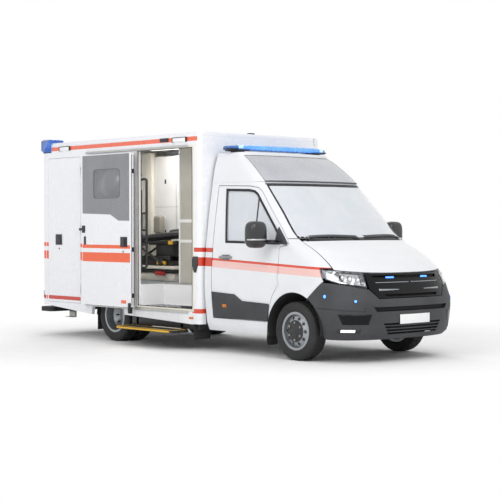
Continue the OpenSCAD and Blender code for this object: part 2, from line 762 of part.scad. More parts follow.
module locker_barrels(part, grow) {
    barrels(locker_x1, locker_axis_y, locker_hinge_z, locker_hinge_r, 40, part, grow);
}

module locker_pins(clear) {
    barrel_pins(locker_x1, locker_axis_y, locker_hinge_z, locker_hinge_r, 40, clear);
}

module rear_barrels(part, grow) {
    barrels(rear_axis_x, rear_axis_y, rear_hinge_z, hinge_r, 40, part, grow);
}

module rear_pins(clear) {
    barrel_pins(rear_axis_x, rear_axis_y, rear_hinge_z, hinge_r, 40, clear);
}

module lamp_pockets() {
    both() block(box_rear_x - 100, lamp_x1, lamp_y0, hw + 100, lamp_z0, box_top_z + 100);
}

module wall_panel() {
    difference() {
        side_cut(hw - wall_t, hw) polygon(wall_edge);
        bar_y(rx, axle_z, 0, hw + 10, rear_arch_r);
        lamp_pockets();
    }
}

module box_left_wall() {
    color("#ecedee") wall_panel();
}

module box_right_wall() {
    color("#ecedee") mirror([0, 1, 0]) difference() {
        union() {
            difference() {
                wall_panel();
                block(way_x0, way_x1 + 1, 0, hw + 10, doorway_low_z, doorway_high_z);
                block(locker_x0 - 4, locker_x1 + 4, 0, hw + 10, locker_low_z - 4, locker_high_z + 4);
            }
            locker_barrels(0, 0);
        }
        locker_barrels(1, 5);
    }
    color("#ecedee") mirror([0, 1, 0]) locker_pins(0);
}

// Outside locker door, hinged at its front edge, with its latch plate
module locker_door() {
    color("#ecedee") mirror([0, 1, 0]) union() {
        difference() {
            union() {
                side_cut(hw - locker_t, hw) rounded(locker_x0, locker_low_z, locker_x1 - 1, locker_high_z, 8);
                locker_barrels(1, 0);
            }
            locker_barrels(0, 5);
            locker_pins(run_fit);
        }
        side_cut(hw - 5, hw + 8) rounded(locker_x0 + 195, 1326, locker_x0 + 354, 1473, 12);
    }
}

// Cupboard behind the locker door
module locker_liner() {
    y0 = 560;
    y1 = hw - wall_t;
    color("#d9d6cd") mirror([0, 1, 0]) union() {
        block(locker_x1 + 20, locker_x1 + 35, y0, y1, floor_z, cupboard_top_z);
        block(wall_x0 + 20, wall_x0 + 35, y0, y1, floor_z, cupboard_top_z);
        block(wall_x0 + 20, locker_x1 + 35, y0, y0 + 15, floor_z, cupboard_top_z);
        block(wall_x0 + 20, locker_x1 + 35, y0, y1, cupboard_top_z - 15, cupboard_top_z);
        block(wall_x0 + 20, locker_x1 + 35, y0, y1, floor_z + 880, floor_z + 895);
    }
}

// Front wall with the rounded corner posts
module box_front_wall() {
    color("#ecedee") difference() {
        translate([0, 0, 341]) linear_extrude(height = wall_top_z - 341) difference() {
            rounded(way_x1 - 200, -hw, box_front_x, hw, corner_r);
            translate([way_x1 - 300, wall_t - hw])
                square([box_front_x - wall_t - way_x1 + 300, 2 * (hw - wall_t)]);
            translate([way_x1 - 300, -hw - 1]) square([300, 2 * hw + 2]);
        }
        block(way_x1, box_front_x + 1, 110 - hw, hw - 110, 300, rail_top_z + 55);
    }
}

// Rear frame: corner posts, header and the lower panel
module box_rear_frame() {
    color("#ecedee") union() {
        difference() {
            union() {
                difference() {
                    block(box_rear_x, wall_x0, -hw, hw, 447, wall_top_z);
                    block(box_rear_x - 1, wall_x0 + 1, -rear_axis_y, rear_axis_y, rear_low_z, rear_high_z);
                    lamp_pockets();
                }
                both() rear_barrels(0, 0);
            }
            both() rear_barrels(1, 5);
        }
        both() rear_pins(0);
    }
}

// Rear door leaf with its window opening, and its pane
rear_window = [190, rear_high_z - 1010, rear_axis_y - 175, rear_high_z - 250, 60];

module rear_door() {
    color("#ecedee") difference() {
        union() {
            front_cut(box_rear_x, box_rear_x + leaf_t) difference() {
                rounded(4, rear_low_z + 6, rear_axis_y - 4, rear_high_z - 6, 8);
                rounded(rear_window[0], rear_window[1], rear_window[2], rear_window[3], rear_window[4]);
            }
            rear_barrels(1, 0);
        }
        rear_barrels(0, 5);
        rear_pins(run_fit);
    }
}
module rear_door_left() { rear_door(); }
module rear_door_right() { mirror([0, 1, 0]) rear_door(); }

module rear_glass() {
    color("#9fb3bd", 0.5) front_cut(box_rear_x + 4, box_rear_x + 4 + glass_t) rounded(rear_window[0] + 0.3,
        rear_window[1] + 0.3, rear_window[2] - 0.3, rear_window[3] - 0.3, rear_window[4]);
}
module rear_glass_left() { rear_glass(); }
module rear_glass_right() { mirror([0, 1, 0]) rear_glass(); }

module box_roof() {
    color("#f2f3f4") difference() {
        union() {
            translate([0, 0, wall_top_z]) linear_extrude(height = roof_t - 18)
                rounded(box_rear_x, -hw, box_front_x, hw, corner_r);
            translate([0, 0, wall_top_z + 10]) linear_extrude(height = roof_t - 10)
                rounded(box_rear_x + 16, 16 - hw, box_front_x - 16, hw - 16, corner_r);
        }
        lamp_pockets();
    }
}

// Floor on cross bearers, with the sunk tread of the side entrance
well_y = 640;

module box_floor() {
    in_y = hw - wall_t;
    in_x = box_front_x - wall_t;
    under_z = floor_z - floor_t;
    bearers = [[in_x - 120, -well_y], [rx + 1150, -well_y], [rx + 640, -in_y], [rx, -480], [rx - 520, -in_y],
        [rx - 1060, -in_y], [wall_x0 + 60, -in_y]];
    color("#8f9296") union() {
        difference() {
            block(wall_x0, in_x, -in_y, in_y, under_z, floor_z);
            block(way_x0, way_x1, -in_y - 1, -well_y, under_z - 1, floor_z + 1);
        }
        for (b = bearers)
            block(b[0] - 35, b[0] + 35, b[1], b[1] < -500 ? in_y : 480, rail_top_z, under_z + 1);
        block(way_x0, way_x1, -in_y, -well_y + 25, doorway_low_z - 30, doorway_low_z);
        block(way_x0, way_x1, -well_y, -well_y + 25, doorway_low_z - 30, under_z + 1);
        for (x = [way_x0, way_x1 - 25]) block(x, x + 25, -in_y, -well_y + 25, doorway_low_z - 30, floor_z);
    }
}

// Sliding side door, slid back outside the wall on its runner arms
film_edge = [[16, -810], [673, -828], [858, -912], [doorway_w - 42, -916], [doorway_w - 42, -9], [16, -9]];
slider_low_z = doorway_low_z - 30;
slider_high_z = doorway_high_z - 20;

module film_outline(grow) {
    translate([slider_x0, slider_high_z]) offset(delta = grow) polygon(film_edge);
}

module slider_window(grow) {
    rounded(slider_x0 + 278 - grow, slider_high_z - 604 - grow, slider_x1 - 256 + grow,
        slider_high_z - 208 + grow, 50);
}

module side_door() {
    outer_y = slider_y + slider_t;
    arms = [[slider_x1 - 130, slider_high_z - 65], [slider_x1 - 130, slider_low_z + 60],
        [slider_x0 + 60, 1400]];
    color("#ecedee") mirror([0, 1, 0]) difference() {
        union() {
            side_cut(slider_y, outer_y) rounded(slider_x0, slider_low_z, slider_x1, slider_high_z, 22);
            for (a = arms) block(a[0], a[0] + 70, hw, slider_y + 1, a[1], a[1] + 40);
        }
        side_cut(outer_y - 6, outer_y + 1) film_outline(0.4);
        side_cut(slider_y - 1, outer_y + 1) slider_window(-12);
    }
}

module side_door_glass() {
    outer_y = slider_y + slider_t;
    color("#85888d") mirror([0, 1, 0]) side_cut(outer_y - 6, outer_y) film_outline(0);
}

// Cupboards, stretcher and rails of the patient compartment
board_t = 18;

module left_cabinet() {
    color("#eceae4") difference() {
        block(rx - 1050, rx + 1100, 560, hw - wall_t, floor_z, cupboard_top_z);
        block(rx - 1050 + board_t, rx + 1100 - board_t, 560 + board_t, hw, floor_z + board_t,
            cupboard_top_z - board_t);
    }
}

module front_cupboard() {
    color("#d9d3c4") difference() {
        block(way_x0 + 330, box_front_x - wall_t, -620, 540, floor_z, cupboard_top_z);
        block(way_x0 + 330 + board_t, box_front_x, board_t - 620, 540 - board_t, floor_z + board_t,
            cupboard_top_z - board_t);
    }
}

module stretcher() {
    color("#4c4e52") union() {
        block(rx - 1400, rx + 500, -290, 290, floor_z, 1030);
        block(rx - 1250, rx + 350, -210, 210, 1030, 1400);
        side_cut(-285, 285) rounded(rx - 1380, 1390, rx + 520, 1470, 35);
        side_cut(-270, 270) polygon([[rx - 260, 1460], [rx + 510, 1460], [rx + 510, 1540], [rx + 470, 1552]]);
    }
}

module grab_rails() {
    in_y = hw - wall_t;
    color("#3b3c3f") union() {
        translate([way_x0 - 45, 40 - in_y, 960]) cylinder(r = 15, h = 1120);
        for (z = [980, 2050]) bar_y(way_x0 - 45, z, -in_y, 40 - in_y, 10);
        bar_x(-330, wall_top_z - 60, rx - 1200, rx + 900, 15);
        for (x = [rx - 1150, rx - 150, rx + 850])
            translate([x, -330, wall_top_z - 60]) cylinder(r = 10, h = 60);
    }
}

// Side step under the doorway and the step across the tail
step_w = 1250;

module side_step() {
    x1 = way_x1 - 150;
    color("#232427") union() {
        translate([0, 0, 222]) linear_extrude(height = 34) rounded(x1 - step_w, -hw - 216, x1, 85 - hw, 55);
        for (x = [x1 - 150, x1 - step_w + 150])
            block(x - 25, x + 25, 70 - hw, 140 - hw, 240, doorway_low_z - 30);
    }
}

module rear_step() {
    color("#232427") union() {
        translate([0, 0, 336]) linear_extrude(height = 66)
            rounded(box_rear_x - rear_step_depth, 98 - hw, box_rear_x + 40, hw - 98, 60);
        both() {
            block(box_rear_x, box_rear_x + 200, rail_y - rail_w / 2, rail_y + rail_w / 2, 350, 440);
            block(box_rear_x + 110, box_rear_x + 200, rail_y - rail_w / 2, rail_y + rail_w / 2, 350, rail_z);
        }
    }
}

// Wheel housings and spray flaps
module mud_guards() {
    in_r = rear_arch_r - 2;
    under_z = floor_z - floor_t;
    color("#1d1e20") {
        both() {
            difference() {
                at_cab() bar_y(0, axle_z, 500, 1003, front_arch_r - 0.3);
                at_cab() bar_y(0, axle_z, 499, 1004, front_arch_r - 7);
                block(fx - 600, fx + 600, 400, 1100, -200, axle_z - 30);
            }
            at_cab() block(-520, -508, 780, 955, 150, 272);
            difference() {
                union() {
                    bar_y(rx, axle_z, 505, 985, in_r);
                    block(rx - 20, rx + 20, 505, 560, axle_z + in_r - 10, under_z);
                }
                bar_y(rx, axle_z, 504, 986, in_r - 6);
                block(rx - 500, rx + 500, 400, 1100, -200, axle_z);
                block(rx, rx + 500, 400, 1100, -200, axle_z + 150);
            }
            block(rx - in_r, rx - in_r + 6, 520, 970, 140, axle_z + 10);
        }
        block(way_x1, way_x1 + 12, 25 - hw, 105 - hw, 140, 341);
        block(way_x1, way_x1 + 12, 25 - hw, 290 - hw, 140, 300);
    }
}

// Blue lamps let into the rear top corners
module corner_lamps() {
    low = lamp_z0 + 0.3;
    top = box_top_z + 58;
    color("#2747b5") both() intersection() {
        front_cut(box_rear_x - 34, lamp_x1 - 0.3) polygon([[lamp_y0 + 0.3, low], [hw + 4, low],
            [hw + 24, low + 34.7], [hw + 24, top - 20], [hw + 4, top], [lamp_y0 + 0.3, top]]);
        side_cut(lamp_y0 - 10, hw + 60) polygon([[lamp_x1 - 0.3, low], [lamp_x1 - 0.3, top - 15],
            [lamp_x1 - 20, top], [box_rear_x - 14, top], [box_rear_x - 34, top - 20],
            [box_rear_x - 34, low + 34.7], [box_rear_x - 4, low]]);
    }
}

chassis_frame();
engine_block();
front_axle();
rear_axle();
fuel_tank();
exhaust();
cab_tub();
body_side_left();
body_side_right();
front_wings();
bonnet();
front_bumper();
grille();
headlamps();
windscreen();
cowl_and_wipers();
door_left();
door_right();
door_glass_left();
door_glass_right();
door_trim_left();
door_trim_right();
dashboard();
steering_wheel();
seats();
roof_spoiler();
spoiler_panel();
light_bar();
box_floor();
box_left_wall();
box_right_wall();
box_front_wall();
box_rear_frame();
box_roof();
side_door();
side_door_glass();
locker_door();
locker_liner();
rear_door_left();
rear_door_right();
rear_glass_left();
rear_glass_right();
left_cabinet();
front_cupboard();
stretcher();
grab_rails();
side_step();
rear_step();
mud_guards();
corner_lamps();
knuckle_left();
knuckle_right();
front_rim_left();
front_rim_right();
front_tyre_left();
front_tyre_right();
rear_rims_left();
rear_rims_right();
rear_tyres_left();
rear_tyres_right();
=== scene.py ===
import math
import bmesh
import bpy
from mathutils import Matrix, Vector


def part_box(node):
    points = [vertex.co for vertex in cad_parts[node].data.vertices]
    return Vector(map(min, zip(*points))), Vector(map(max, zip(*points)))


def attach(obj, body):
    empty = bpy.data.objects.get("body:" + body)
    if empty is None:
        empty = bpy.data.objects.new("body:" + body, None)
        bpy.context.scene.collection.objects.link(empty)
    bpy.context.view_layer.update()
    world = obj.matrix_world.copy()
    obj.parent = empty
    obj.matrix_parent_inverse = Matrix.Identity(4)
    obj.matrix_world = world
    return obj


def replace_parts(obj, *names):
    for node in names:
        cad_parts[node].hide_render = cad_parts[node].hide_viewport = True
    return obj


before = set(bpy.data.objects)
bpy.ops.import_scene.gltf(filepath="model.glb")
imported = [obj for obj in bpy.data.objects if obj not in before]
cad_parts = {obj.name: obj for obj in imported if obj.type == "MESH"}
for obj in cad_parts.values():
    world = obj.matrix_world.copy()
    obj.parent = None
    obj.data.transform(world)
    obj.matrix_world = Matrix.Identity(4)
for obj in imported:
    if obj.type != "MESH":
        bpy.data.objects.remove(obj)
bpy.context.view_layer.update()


# Ladder frame: two pressed steel rails with cross members, a front beam and jacking pads, bolted together.
# It is dipped in black wax paint, which dries uneven and gathers road dust.
def colour(code):
    """sRGB hex value as the linear colour of a shader socket."""
    parts = [int(code[i:i + 2], 16) / 255 for i in (1, 3, 5)]
    return [c / 12.92 if c <= 0.04045 else ((c + 0.055) / 1.055) ** 2.4 for c in parts] + [1.0]


def add(tree, kind, inputs=None, **settings):
    """Adds a shader node, sets its properties, and sets or links its inputs."""
    node = tree.nodes.new("ShaderNode" + kind)
    for name, value in settings.items():
        setattr(node, name, value)
    for key, value in (inputs or {}).items():
        if isinstance(value, bpy.types.NodeSocket):
            tree.links.new(value, node.inputs[key])
        else:
            node.inputs[key].default_value = value
    return node


def surface(name, low, high, grain_mm, relief_mm, rough, **sockets):
    """A finish whose colour drifts between two tones and whose grain has a real size in millimetres."""
    clouds_per_m = 2.6
    made = bpy.data.materials.new(name)
    made.use_nodes = True
    tree = made.node_tree
    shader = tree.nodes["Principled BSDF"]
    where = add(tree, "TexCoord").outputs["Object"]
    grain = add(tree, "TexNoise", {"Vector": where, "Scale": 1000 / grain_mm, "Detail": 2.0}).outputs["Fac"]
    drift = add(tree, "TexNoise", {"Vector": where, "Scale": clouds_per_m, "Detail": 5.0, "Roughness": 0.6})
    spread = add(tree, "MapRange", {0: drift.outputs["Fac"], 1: 0.34, 2: 0.66}).outputs[0]
    tone = add(tree, "Mix", {0: spread, 6: colour(low), 7: colour(high)}, data_type="RGBA").outputs[2]
    tree.links.new(tone, shader.inputs["Base Color"])
    gloss = add(tree, "MapRange", {0: grain, 1: 0.3, 2: 0.7, 3: rough[0], 4: rough[1]}).outputs[0]
    tree.links.new(gloss, shader.inputs["Roughness"])
    if relief_mm:
        bump = add(tree, "Bump", {"Height": grain, "Distance": relief_mm / 1000, "Strength": 0.6})
        tree.links.new(bump.outputs[0], shader.inputs["Normal"])
    for key, value in sockets.items():
        shader.inputs[key.replace("_", " ")].default_value = value
    return made


def dress(node, material, edge=0.003):
    """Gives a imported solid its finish, with its edges slightly rounded."""
    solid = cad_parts[node]
    solid.data.materials.clear()
    solid.data.materials.append(material)
    solid.modifiers.new("joined", "WELD").merge_threshold = 0.00005
    if edge:
        rounding = solid.modifiers.new("rounded edges", "BEVEL")
        rounding.width = edge
        rounding.segments = 2
        rounding.limit_method = "ANGLE"
        rounding.angle_limit = math.radians(40)
    solid.modifiers.new("even shading", "WEIGHTED_NORMAL")


# Wax paint on steel: near black and satin, with brownish dust in patches.
wax_paint = surface("wax_painted_steel", "#26272A", "#3A3937", 8, 0.5, (0.5, 0.75), Metallic=0.0)
dress("chassis_frame", wax_paint)


def bolt_head(bm, at, towards, across=0.018, height=0.008):
    """A hexagon head standing on a face."""
    turn = Vector((0, 0, 1)).rotation_difference(Vector(towards)).to_matrix().to_4x4()
    place = Matrix.Translation(Vector(at) + Vector(towards) * height / 2) @ turn
    bmesh.ops.create_cone(bm, cap_ends=True, segments=6, radius1=across / 2, radius2=across / 2.15,
        depth=height, matrix=place)


def piece(name, bm, material, body, sharp=35):
    """Makes a bmesh an object that rides on a body, with the given finish."""
    mesh = bpy.data.meshes.new(name)
    bm.to_mesh(mesh)
    bm.free()
    mesh.shade_smooth()
    mesh.set_sharp_from_angle(angle=math.radians(sharp))
    made = bpy.data.objects.new(name, mesh)
    bpy.context.scene.collection.objects.link(made)
    mesh.materials.append(material)
    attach(made, body)
    return made


rail_face_y = 0.439
bracket_x = (-2.85, -2.1, -0.7, 0.1, 1.24)
bm = bmesh.new()
for side in (1, -1):
    for x in bracket_x:
        for z in (0.53, 0.6):
            for dx in (-0.03, 0.03):
                bolt_head(bm, (x + dx, side * rail_face_y, z), (0, side, 0))
piece("frame_bolts", bm, wax_paint, "vehicle")


# Engine, gearbox, axles, tank and exhaust: castings and forgings bolted to the frame, a blow-moulded tank
# on two steel straps, and an aluminised steel silencer on hangers.
# Cast iron: rough mid grey with a sandy skin and a brown cast of rust.
cast_iron = surface("cast_iron", "#4A4C4E", "#5E5D59", 5, 1.2, (0.6, 0.85), Metallic=0.4)
# Painted forging: dark grey, duller where the paint has worn to brown scale.
forged_steel = surface("painted_forging", "#303236", "#4A443E", 6, 0.6, (0.5, 0.8), Metallic=0.2)
# Blow-moulded polythene: black, waxy and slightly pebbled.
polythene = surface("blow_moulded_polythene", "#2E3032", "#3A3C3E", 3, 0.5, (0.45, 0.6))
# Heat-stained steel: bright metal gone straw brown in patches.
stained_steel = surface("heat_stained_steel", "#8A8682", "#6E6255", 12, 0.3, (0.3, 0.55), Metallic=0.9)
dress("engine_block", cast_iron, 0.012)
for node in ("front_axle", "rear_axle", "knuckle_left", "knuckle_right"):
    dress(node, forged_steel, 0.004)
dress("fuel_tank", polythene, 0.006)
dress("exhaust", stained_steel, 0.002)


def block(bm, lo, hi, bevel=0.003):
    """A box between two opposite corners, with rounded edges."""
    lo, hi = (Vector(c) for c in zip(*(sorted(pair) for pair in zip(lo, hi))))
    made = bmesh.ops.create_cube(bm, size=1.0,
        matrix=Matrix.Translation((lo + hi) / 2) @ Matrix.Diagonal((*(hi - lo), 1.0)))
    if bevel:
        edges = list(dict.fromkeys(e for v in made["verts"] for e in v.link_edges))
        bmesh.ops.bevel(bm, geom=edges, offset=bevel, affect="EDGES", segments=2, profile=0.5, material=-1)


def boxes(name, rows, material, body="vehicle"):
    """One piece of rounded boxes: each row has two opposite corners and the radius of the edges."""
    bm = bmesh.new()
    for lo, hi, bevel in rows:
        block(bm, lo, hi, bevel)
    return piece(name, bm, material, body)


strap_half, strap_t = 0.02, 0.003
tank_low, tank_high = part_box("fuel_tank")
straps = []
for x in (tank_low.x + 0.16, tank_high.x - 0.16):
    for y, z0, z1 in ((tank_low.y - 0.002, tank_low.z - strap_t, tank_low.z + strap_t),
            (tank_high.y - strap_t, tank_low.z + 0.03, tank_high.z - 0.03)):
        straps.append(((x - strap_half, y, z0), (x + strap_half, tank_high.y + strap_t, z1), 0.001))
boxes("tank_straps", straps, stained_steel)

# Wheels: pressed steel discs welded into rolled rims and sprayed, with zinc nuts and a black front hub cap.
# The rear pairs share one set of studs, so their outer discs are deep dishes.
# Silver lacquer: mid grey with a soft metallic sheen.
silver_lacquer = surface("silver_lacquer", "#93979B", "#A2A5A9", 6, 0.15, (0.28, 0.4), Metallic=0.75)
# Zinc plate: pale warm grey metal, half dull.
zinc = surface("zinc_plated_steel", "#9C9C98", "#B4B3AC", 4, 0.2, (0.3, 0.5), Metallic=1.0)
# Moulded black plastic: charcoal with a fine, even sheen.
hub_plastic = surface("moulded_black_plastic", "#1F2022", "#292A2C", 2, 0.3, (0.4, 0.55))
for node in ("front_rim_left", "front_rim_right", "rear_rims_left", "rear_rims_right"):
    dress(node, silver_lacquer, 0.0015)


def join(bm, made):
    """Adds one bmesh to another and frees it."""
    kept = bpy.data.meshes.new("kept")
    made.to_mesh(kept)
    made.free()
    bm.from_mesh(kept)
    bpy.data.meshes.remove(kept)


def turned(profile, steps, closed=False):
    """A new bmesh of (radius, height) points spun about the z axis."""
    made = bmesh.new()
    points = [made.verts.new((r, 0, h)) for r, h in profile]
    line = points + points[:1] if closed else points
    edges = [made.edges.new(pair) for pair in zip(line, line[1:])]
    bmesh.ops.spin(made, geom=points + edges, cent=(0, 0, 0), axis=(0, 0, 1), dvec=(0, 0, 0),
        angle=2 * math.pi, steps=steps, use_merge=True, use_normal_flip=False, use_duplicate=False)
    bmesh.ops.remove_doubles(made, verts=made.verts, dist=1e-6)
    bmesh.ops.recalc_face_normals(made, faces=made.faces)
    return made


def lathe(bm, profile, place, steps=48):
    """Adds a turned shape whose axis is the local z axis of a matrix."""
    made = turned(profile, steps)
    made.transform(place)
    join(bm, made)


axle_z = 0.35
front_axle_x, rear_axle_x = 2.24, -1.4
front_wheel_y, rear_outer_y, rear_inner_y = 0.88, 0.862, 0.622


def hub_frame(x, y, side):
    """Local frame of a wheel: z points outwards from the vehicle."""
    return Matrix.Translation((x, side * y, axle_z)) @ Matrix.Rotation(-side * math.pi / 2, 4, "X")


def nuts(bm, hub, circle, first, rows):
    """Six nuts on a stud circle: each row has a height on the hub, a width across flats and a length."""
    outwards = hub.to_3x3() @ Vector((0, 0, 1))
    for i in range(6):
        a = math.radians(60 * i + first)
        for height, across, length in rows:
            at = hub @ Vector((circle * math.cos(a), circle * math.sin(a), height))
            bolt_head(bm, at, outwards, across, length)


vent_count, vent_circle, disc_slope = 10, 0.154, math.radians(24.3)
vent_shade_ring = [(0.0152, -0.008), (0.0165, -0.001), (0.0195, 0.0008), (0.0215, 0.0004), (0.022, -0.001)]
for name, side in (("left", 1), ("right", -1)):
    hub = hub_frame(front_axle_x, front_wheel_y, side)
    bm = bmesh.new()
    lathe(bm, [(0.0001, 0.1065), (0.044, 0.1055), (0.06, 0.102), (0.07, 0.0968), (0.126, 0.0955),
        (0.131, 0.0915)], hub)
    lathe(bm, [(0.0001, 0.1085), (0.026, 0.108), (0.03, 0.106), (0.031, 0.1)], hub)
    piece("front_hub_cap_" + name, bm, hub_plastic, "front_wheel_" + name)
    # Dark plastic rings round the vent holes are painted shade: they make the holes look wider and deeper.
    bm = bmesh.new()
    for i in range(vent_count):
        lip = (hub @ Matrix.Rotation(2 * math.pi * i / vent_count, 4, "Z")
            @ Matrix.Translation((vent_circle, 0, 0.0785)) @ Matrix.Rotation(disc_slope, 4, "Y")
            @ Matrix.Diagonal((0.95, 1.15, 1.0, 1.0)))
        lathe(bm, vent_shade_ring, lip, 20)
    piece("front_wheel_vent_shade_" + name, bm, hub_plastic, "front_wheel_" + name)
    bm = bmesh.new()
    nuts(bm, hub, 0.1025, 30, ((0.0925, 0.03, 0.014), (0.105, 0.019, 0.008)))
    piece("front_wheel_nuts_" + name, bm, zinc, "front_wheel_" + name)
    hub = hub_frame(rear_axle_x, rear_outer_y, side)
    bm = bmesh.new()
    nuts(bm, hub, 0.112, 0, ((-0.109, 0.03, 0.016), (-0.094, 0.018, 0.018)))
    lathe(bm, [(0.0001, -0.064), (0.052, -0.0645), (0.056, -0.068), (0.056, -0.07)], hub)
    piece("rear_wheel_nuts_" + name, bm, zinc, "rear_wheels_" + name)

# Tyres: radial van tyres vulcanised in a mould, with three grooves, cross-cut shoulder blocks and ringed
# walls. They are stretched over the rims, single in front and in pairs behind.
# Tyre rubber: black, matt and slightly grainy, greyed in patches by dust.
rubber = surface("tyre_rubber", "#1C1D1E", "#2B2B2B", 3, 0.6, (0.65, 0.85))
tyre_steps = 96


def tyre(bm, place):
    """One tyre on its wheel frame: a grooved crown, cuts between shoulder blocks, and rings on the walls."""
    half = [(0.207, 0.084), (0.2275, 0.084), (0.236, 0.0895), (0.2485, 0.0965), (0.262, 0.0985),
        (0.2635, 0.1002), (0.2675, 0.1005), (0.2695, 0.0995), (0.288, 0.1018), (0.305, 0.1022),
        (0.3065, 0.1024), (0.3095, 0.1022), (0.311, 0.1006), (0.326, 0.0985), (0.338, 0.0925),
        (0.3445, 0.0855), (0.3485, 0.076), (0.3495, 0.07), (0.3498, 0.044), (0.3418, 0.0418),
        (0.3418, 0.0342), (0.35, 0.032), (0.35, 0.0045), (0.342, 0.0035)]
    made = turned(half + [(r, -h) for r, h in reversed(half)], tyre_steps, closed=True)
    cuts = []
    for face in made.faces:
        middle = face.calc_center_median()
        height, radius = abs(middle.z), middle.xy.length
        turn = math.atan2(middle.y, middle.x) / (2 * math.pi)
        sector = int(math.floor(turn * tyre_steps + tyre_steps + 0.5)) % tyre_steps
        shoulder = 0.044 < height < 0.0935 and radius > 0.335
        rib = 0.0045 < height < 0.032 and radius > 0.349
        if (shoulder and sector % 3 == 0) or (rib and sector % 4 == (0 if middle.z > 0 else 2)):
            cuts.append(face)
    bmesh.ops.inset_region(made, faces=cuts, thickness=0.002, depth=-0.005, use_boundary=True)
    made.transform(place)
    join(bm, made)


for name, side in (("left", 1), ("right", -1)):
    bm = bmesh.new()
    tyre(bm, hub_frame(front_axle_x, front_wheel_y, side))
    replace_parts(piece("front_road_tyre_" + name, bm, rubber, "front_wheel_" + name, 30),
        "front_tyre_" + name)
    bm = bmesh.new()
    for y in (rear_outer_y, rear_inner_y):
        tyre(bm, hub_frame(rear_axle_x, y, side))
    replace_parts(piece("rear_road_tyres_" + name, bm, rubber, "rear_wheels_" + name, 30),
        "rear_tyres_" + name)

# Wheel housings and spray flaps: pressed shells clipped into the arches, with a carrier that holds each front
# flap to the frame.
# Pressed polythene: black and matt, spattered with dust.
spray_plastic = surface("pressed_polythene", "#1B1C1E", "#2C2B2A", 4, 0.8, (0.65, 0.9))
dress("mud_guards", spray_plastic, 0.001)
carriers = []
for side in (1, -1):
    carriers.append(((1.722, side * 0.775, 0.2), (1.7325, side * 0.945, 0.3), 0.002))
    carriers.append(((1.755, side * 0.78, 0.262), (1.786, side * 0.985, 0.326), 0.004))
boxes("front_flap_carriers", carriers, spray_plastic)

# Cab shell: floor, rear wall, roof and side frames of pressed and welded steel, sprayed white and baked.
# Each outer panel takes its shading from the drawn skin that the panels were cut from: its rows give the
# height, half width, start of the side, reach of the nose and roundness, in millimetres from the front axle.
cab_rows = [(270, 930, 430, 905, 2.7), (330, 965, 430, 985, 2.7), (520, 990, 430, 1012, 2.8),
    (700, 1008, 420, 1018.5, 2.8), (790, 1014, 400, 990, 2.7), (930, 1018, 340, 938, 2.6),
    (1045, 1014, 260, 882, 2.5), (1110, 1008, 200, 818, 2.5), (1200, 1000, 100, 690, 2.4),
    (1310, 992, -40, 470, 2.4), (1440, 980, -260, 160, 2.5), (1780, 935, -590, -170, 2.6),
    (2100, 885, -900, -500, 2.7), (2150, 876, -940, -545, 2.7)]
cab_back = -1620


def along(rows, z, c):
    """Column c of a skin at a height, on a smooth curve through the rows."""
    i = 0
    while i < len(rows) - 2 and z >= rows[i + 1][0]:
        i += 1
    h = rows[i + 1][0] - rows[i][0]
    t = (z - rows[i][0]) / h
    slopes = []
    for k in (i, i + 1):
        a, b = rows[max(k - 1, 0)], rows[min(k + 1, len(rows) - 1)]
        slopes.append((b[c] - a[c]) / (b[0] - a[0]))
    return ((2 * t ** 3 - 3 * t * t + 1) * rows[i][c] + (t ** 3 - 2 * t * t + t) * h * slopes[0]
        + (3 * t * t - 2 * t ** 3) * rows[i + 1][c] + (t ** 3 - t * t) * h * slopes[1])


def off_skin(rows, x, y, z):
    """Below zero inside a skin and above zero outside it; millimetres from the front axle."""
    w, xs, xf, n = (along(rows, z, c) for c in (1, 2, 3, 4))
    return (abs(y) / w) ** n + max(0.0, (x - xs) / (xf - xs)) ** n - 1


def skin_normal(rows, at):
    """Outward direction of a skin at a point of the vehicle, in metres."""
    x, y, z = (at[0] - front_axle_x) * 1000, at[1] * 1000, at[2] * 1000
    slope = [off_skin(rows, x + 1, y, z) - off_skin(rows, x - 1, y, z),
        off_skin(rows, x, y + 1, z) - off_skin(rows, x, y - 1, z),
        off_skin(rows, x, y, z + 1) - off_skin(rows, x, y, z - 1)]
    return Vector(slope).normalized() if any(slope) else Vector((1, 0, 0))


def lifted(rows, at, proud):
    """A point of a skin moved outwards by a distance in metres."""
    return at + skin_normal(rows, at) * proud if proud else at


def on_skin(rows, z, s, proud=0.0):
    """Point of a skin in metres: s is 0 on the nose and 1 where the side begins, negative on the right."""
    w, xs, xf, n = (along(rows, z, c) for c in (1, 2, 3, 4))
    a = abs(s)
    if a < 1:
        x = xs + (xf - xs) * math.cos(math.pi / 2 * a) ** (2 / n)
        y = math.copysign(w * math.sin(math.pi / 2 * a) ** (2 / n), s)
    else:
        x, y = xs + (cab_back - xs) * (a - 1), math.copysign(w, s)
    return lifted(rows, Vector((front_axle_x + x / 1000, y / 1000, z / 1000)), proud)


def on_side(x, z, side, proud=0.0):
    """Point of the cab seen from the side: x from the front axle and height in millimetres."""
    w, xs, xf, n = (along(cab_rows, z, c) for c in (1, 2, 3, 4))
    share = max(0.0, min(1.0, (x - xs) / (xf - xs)))
    at = Vector((front_axle_x + x / 1000, side * w * (1 - share ** n) ** (1 / n) / 1000, z / 1000))
    return lifted(cab_rows, at, proud)


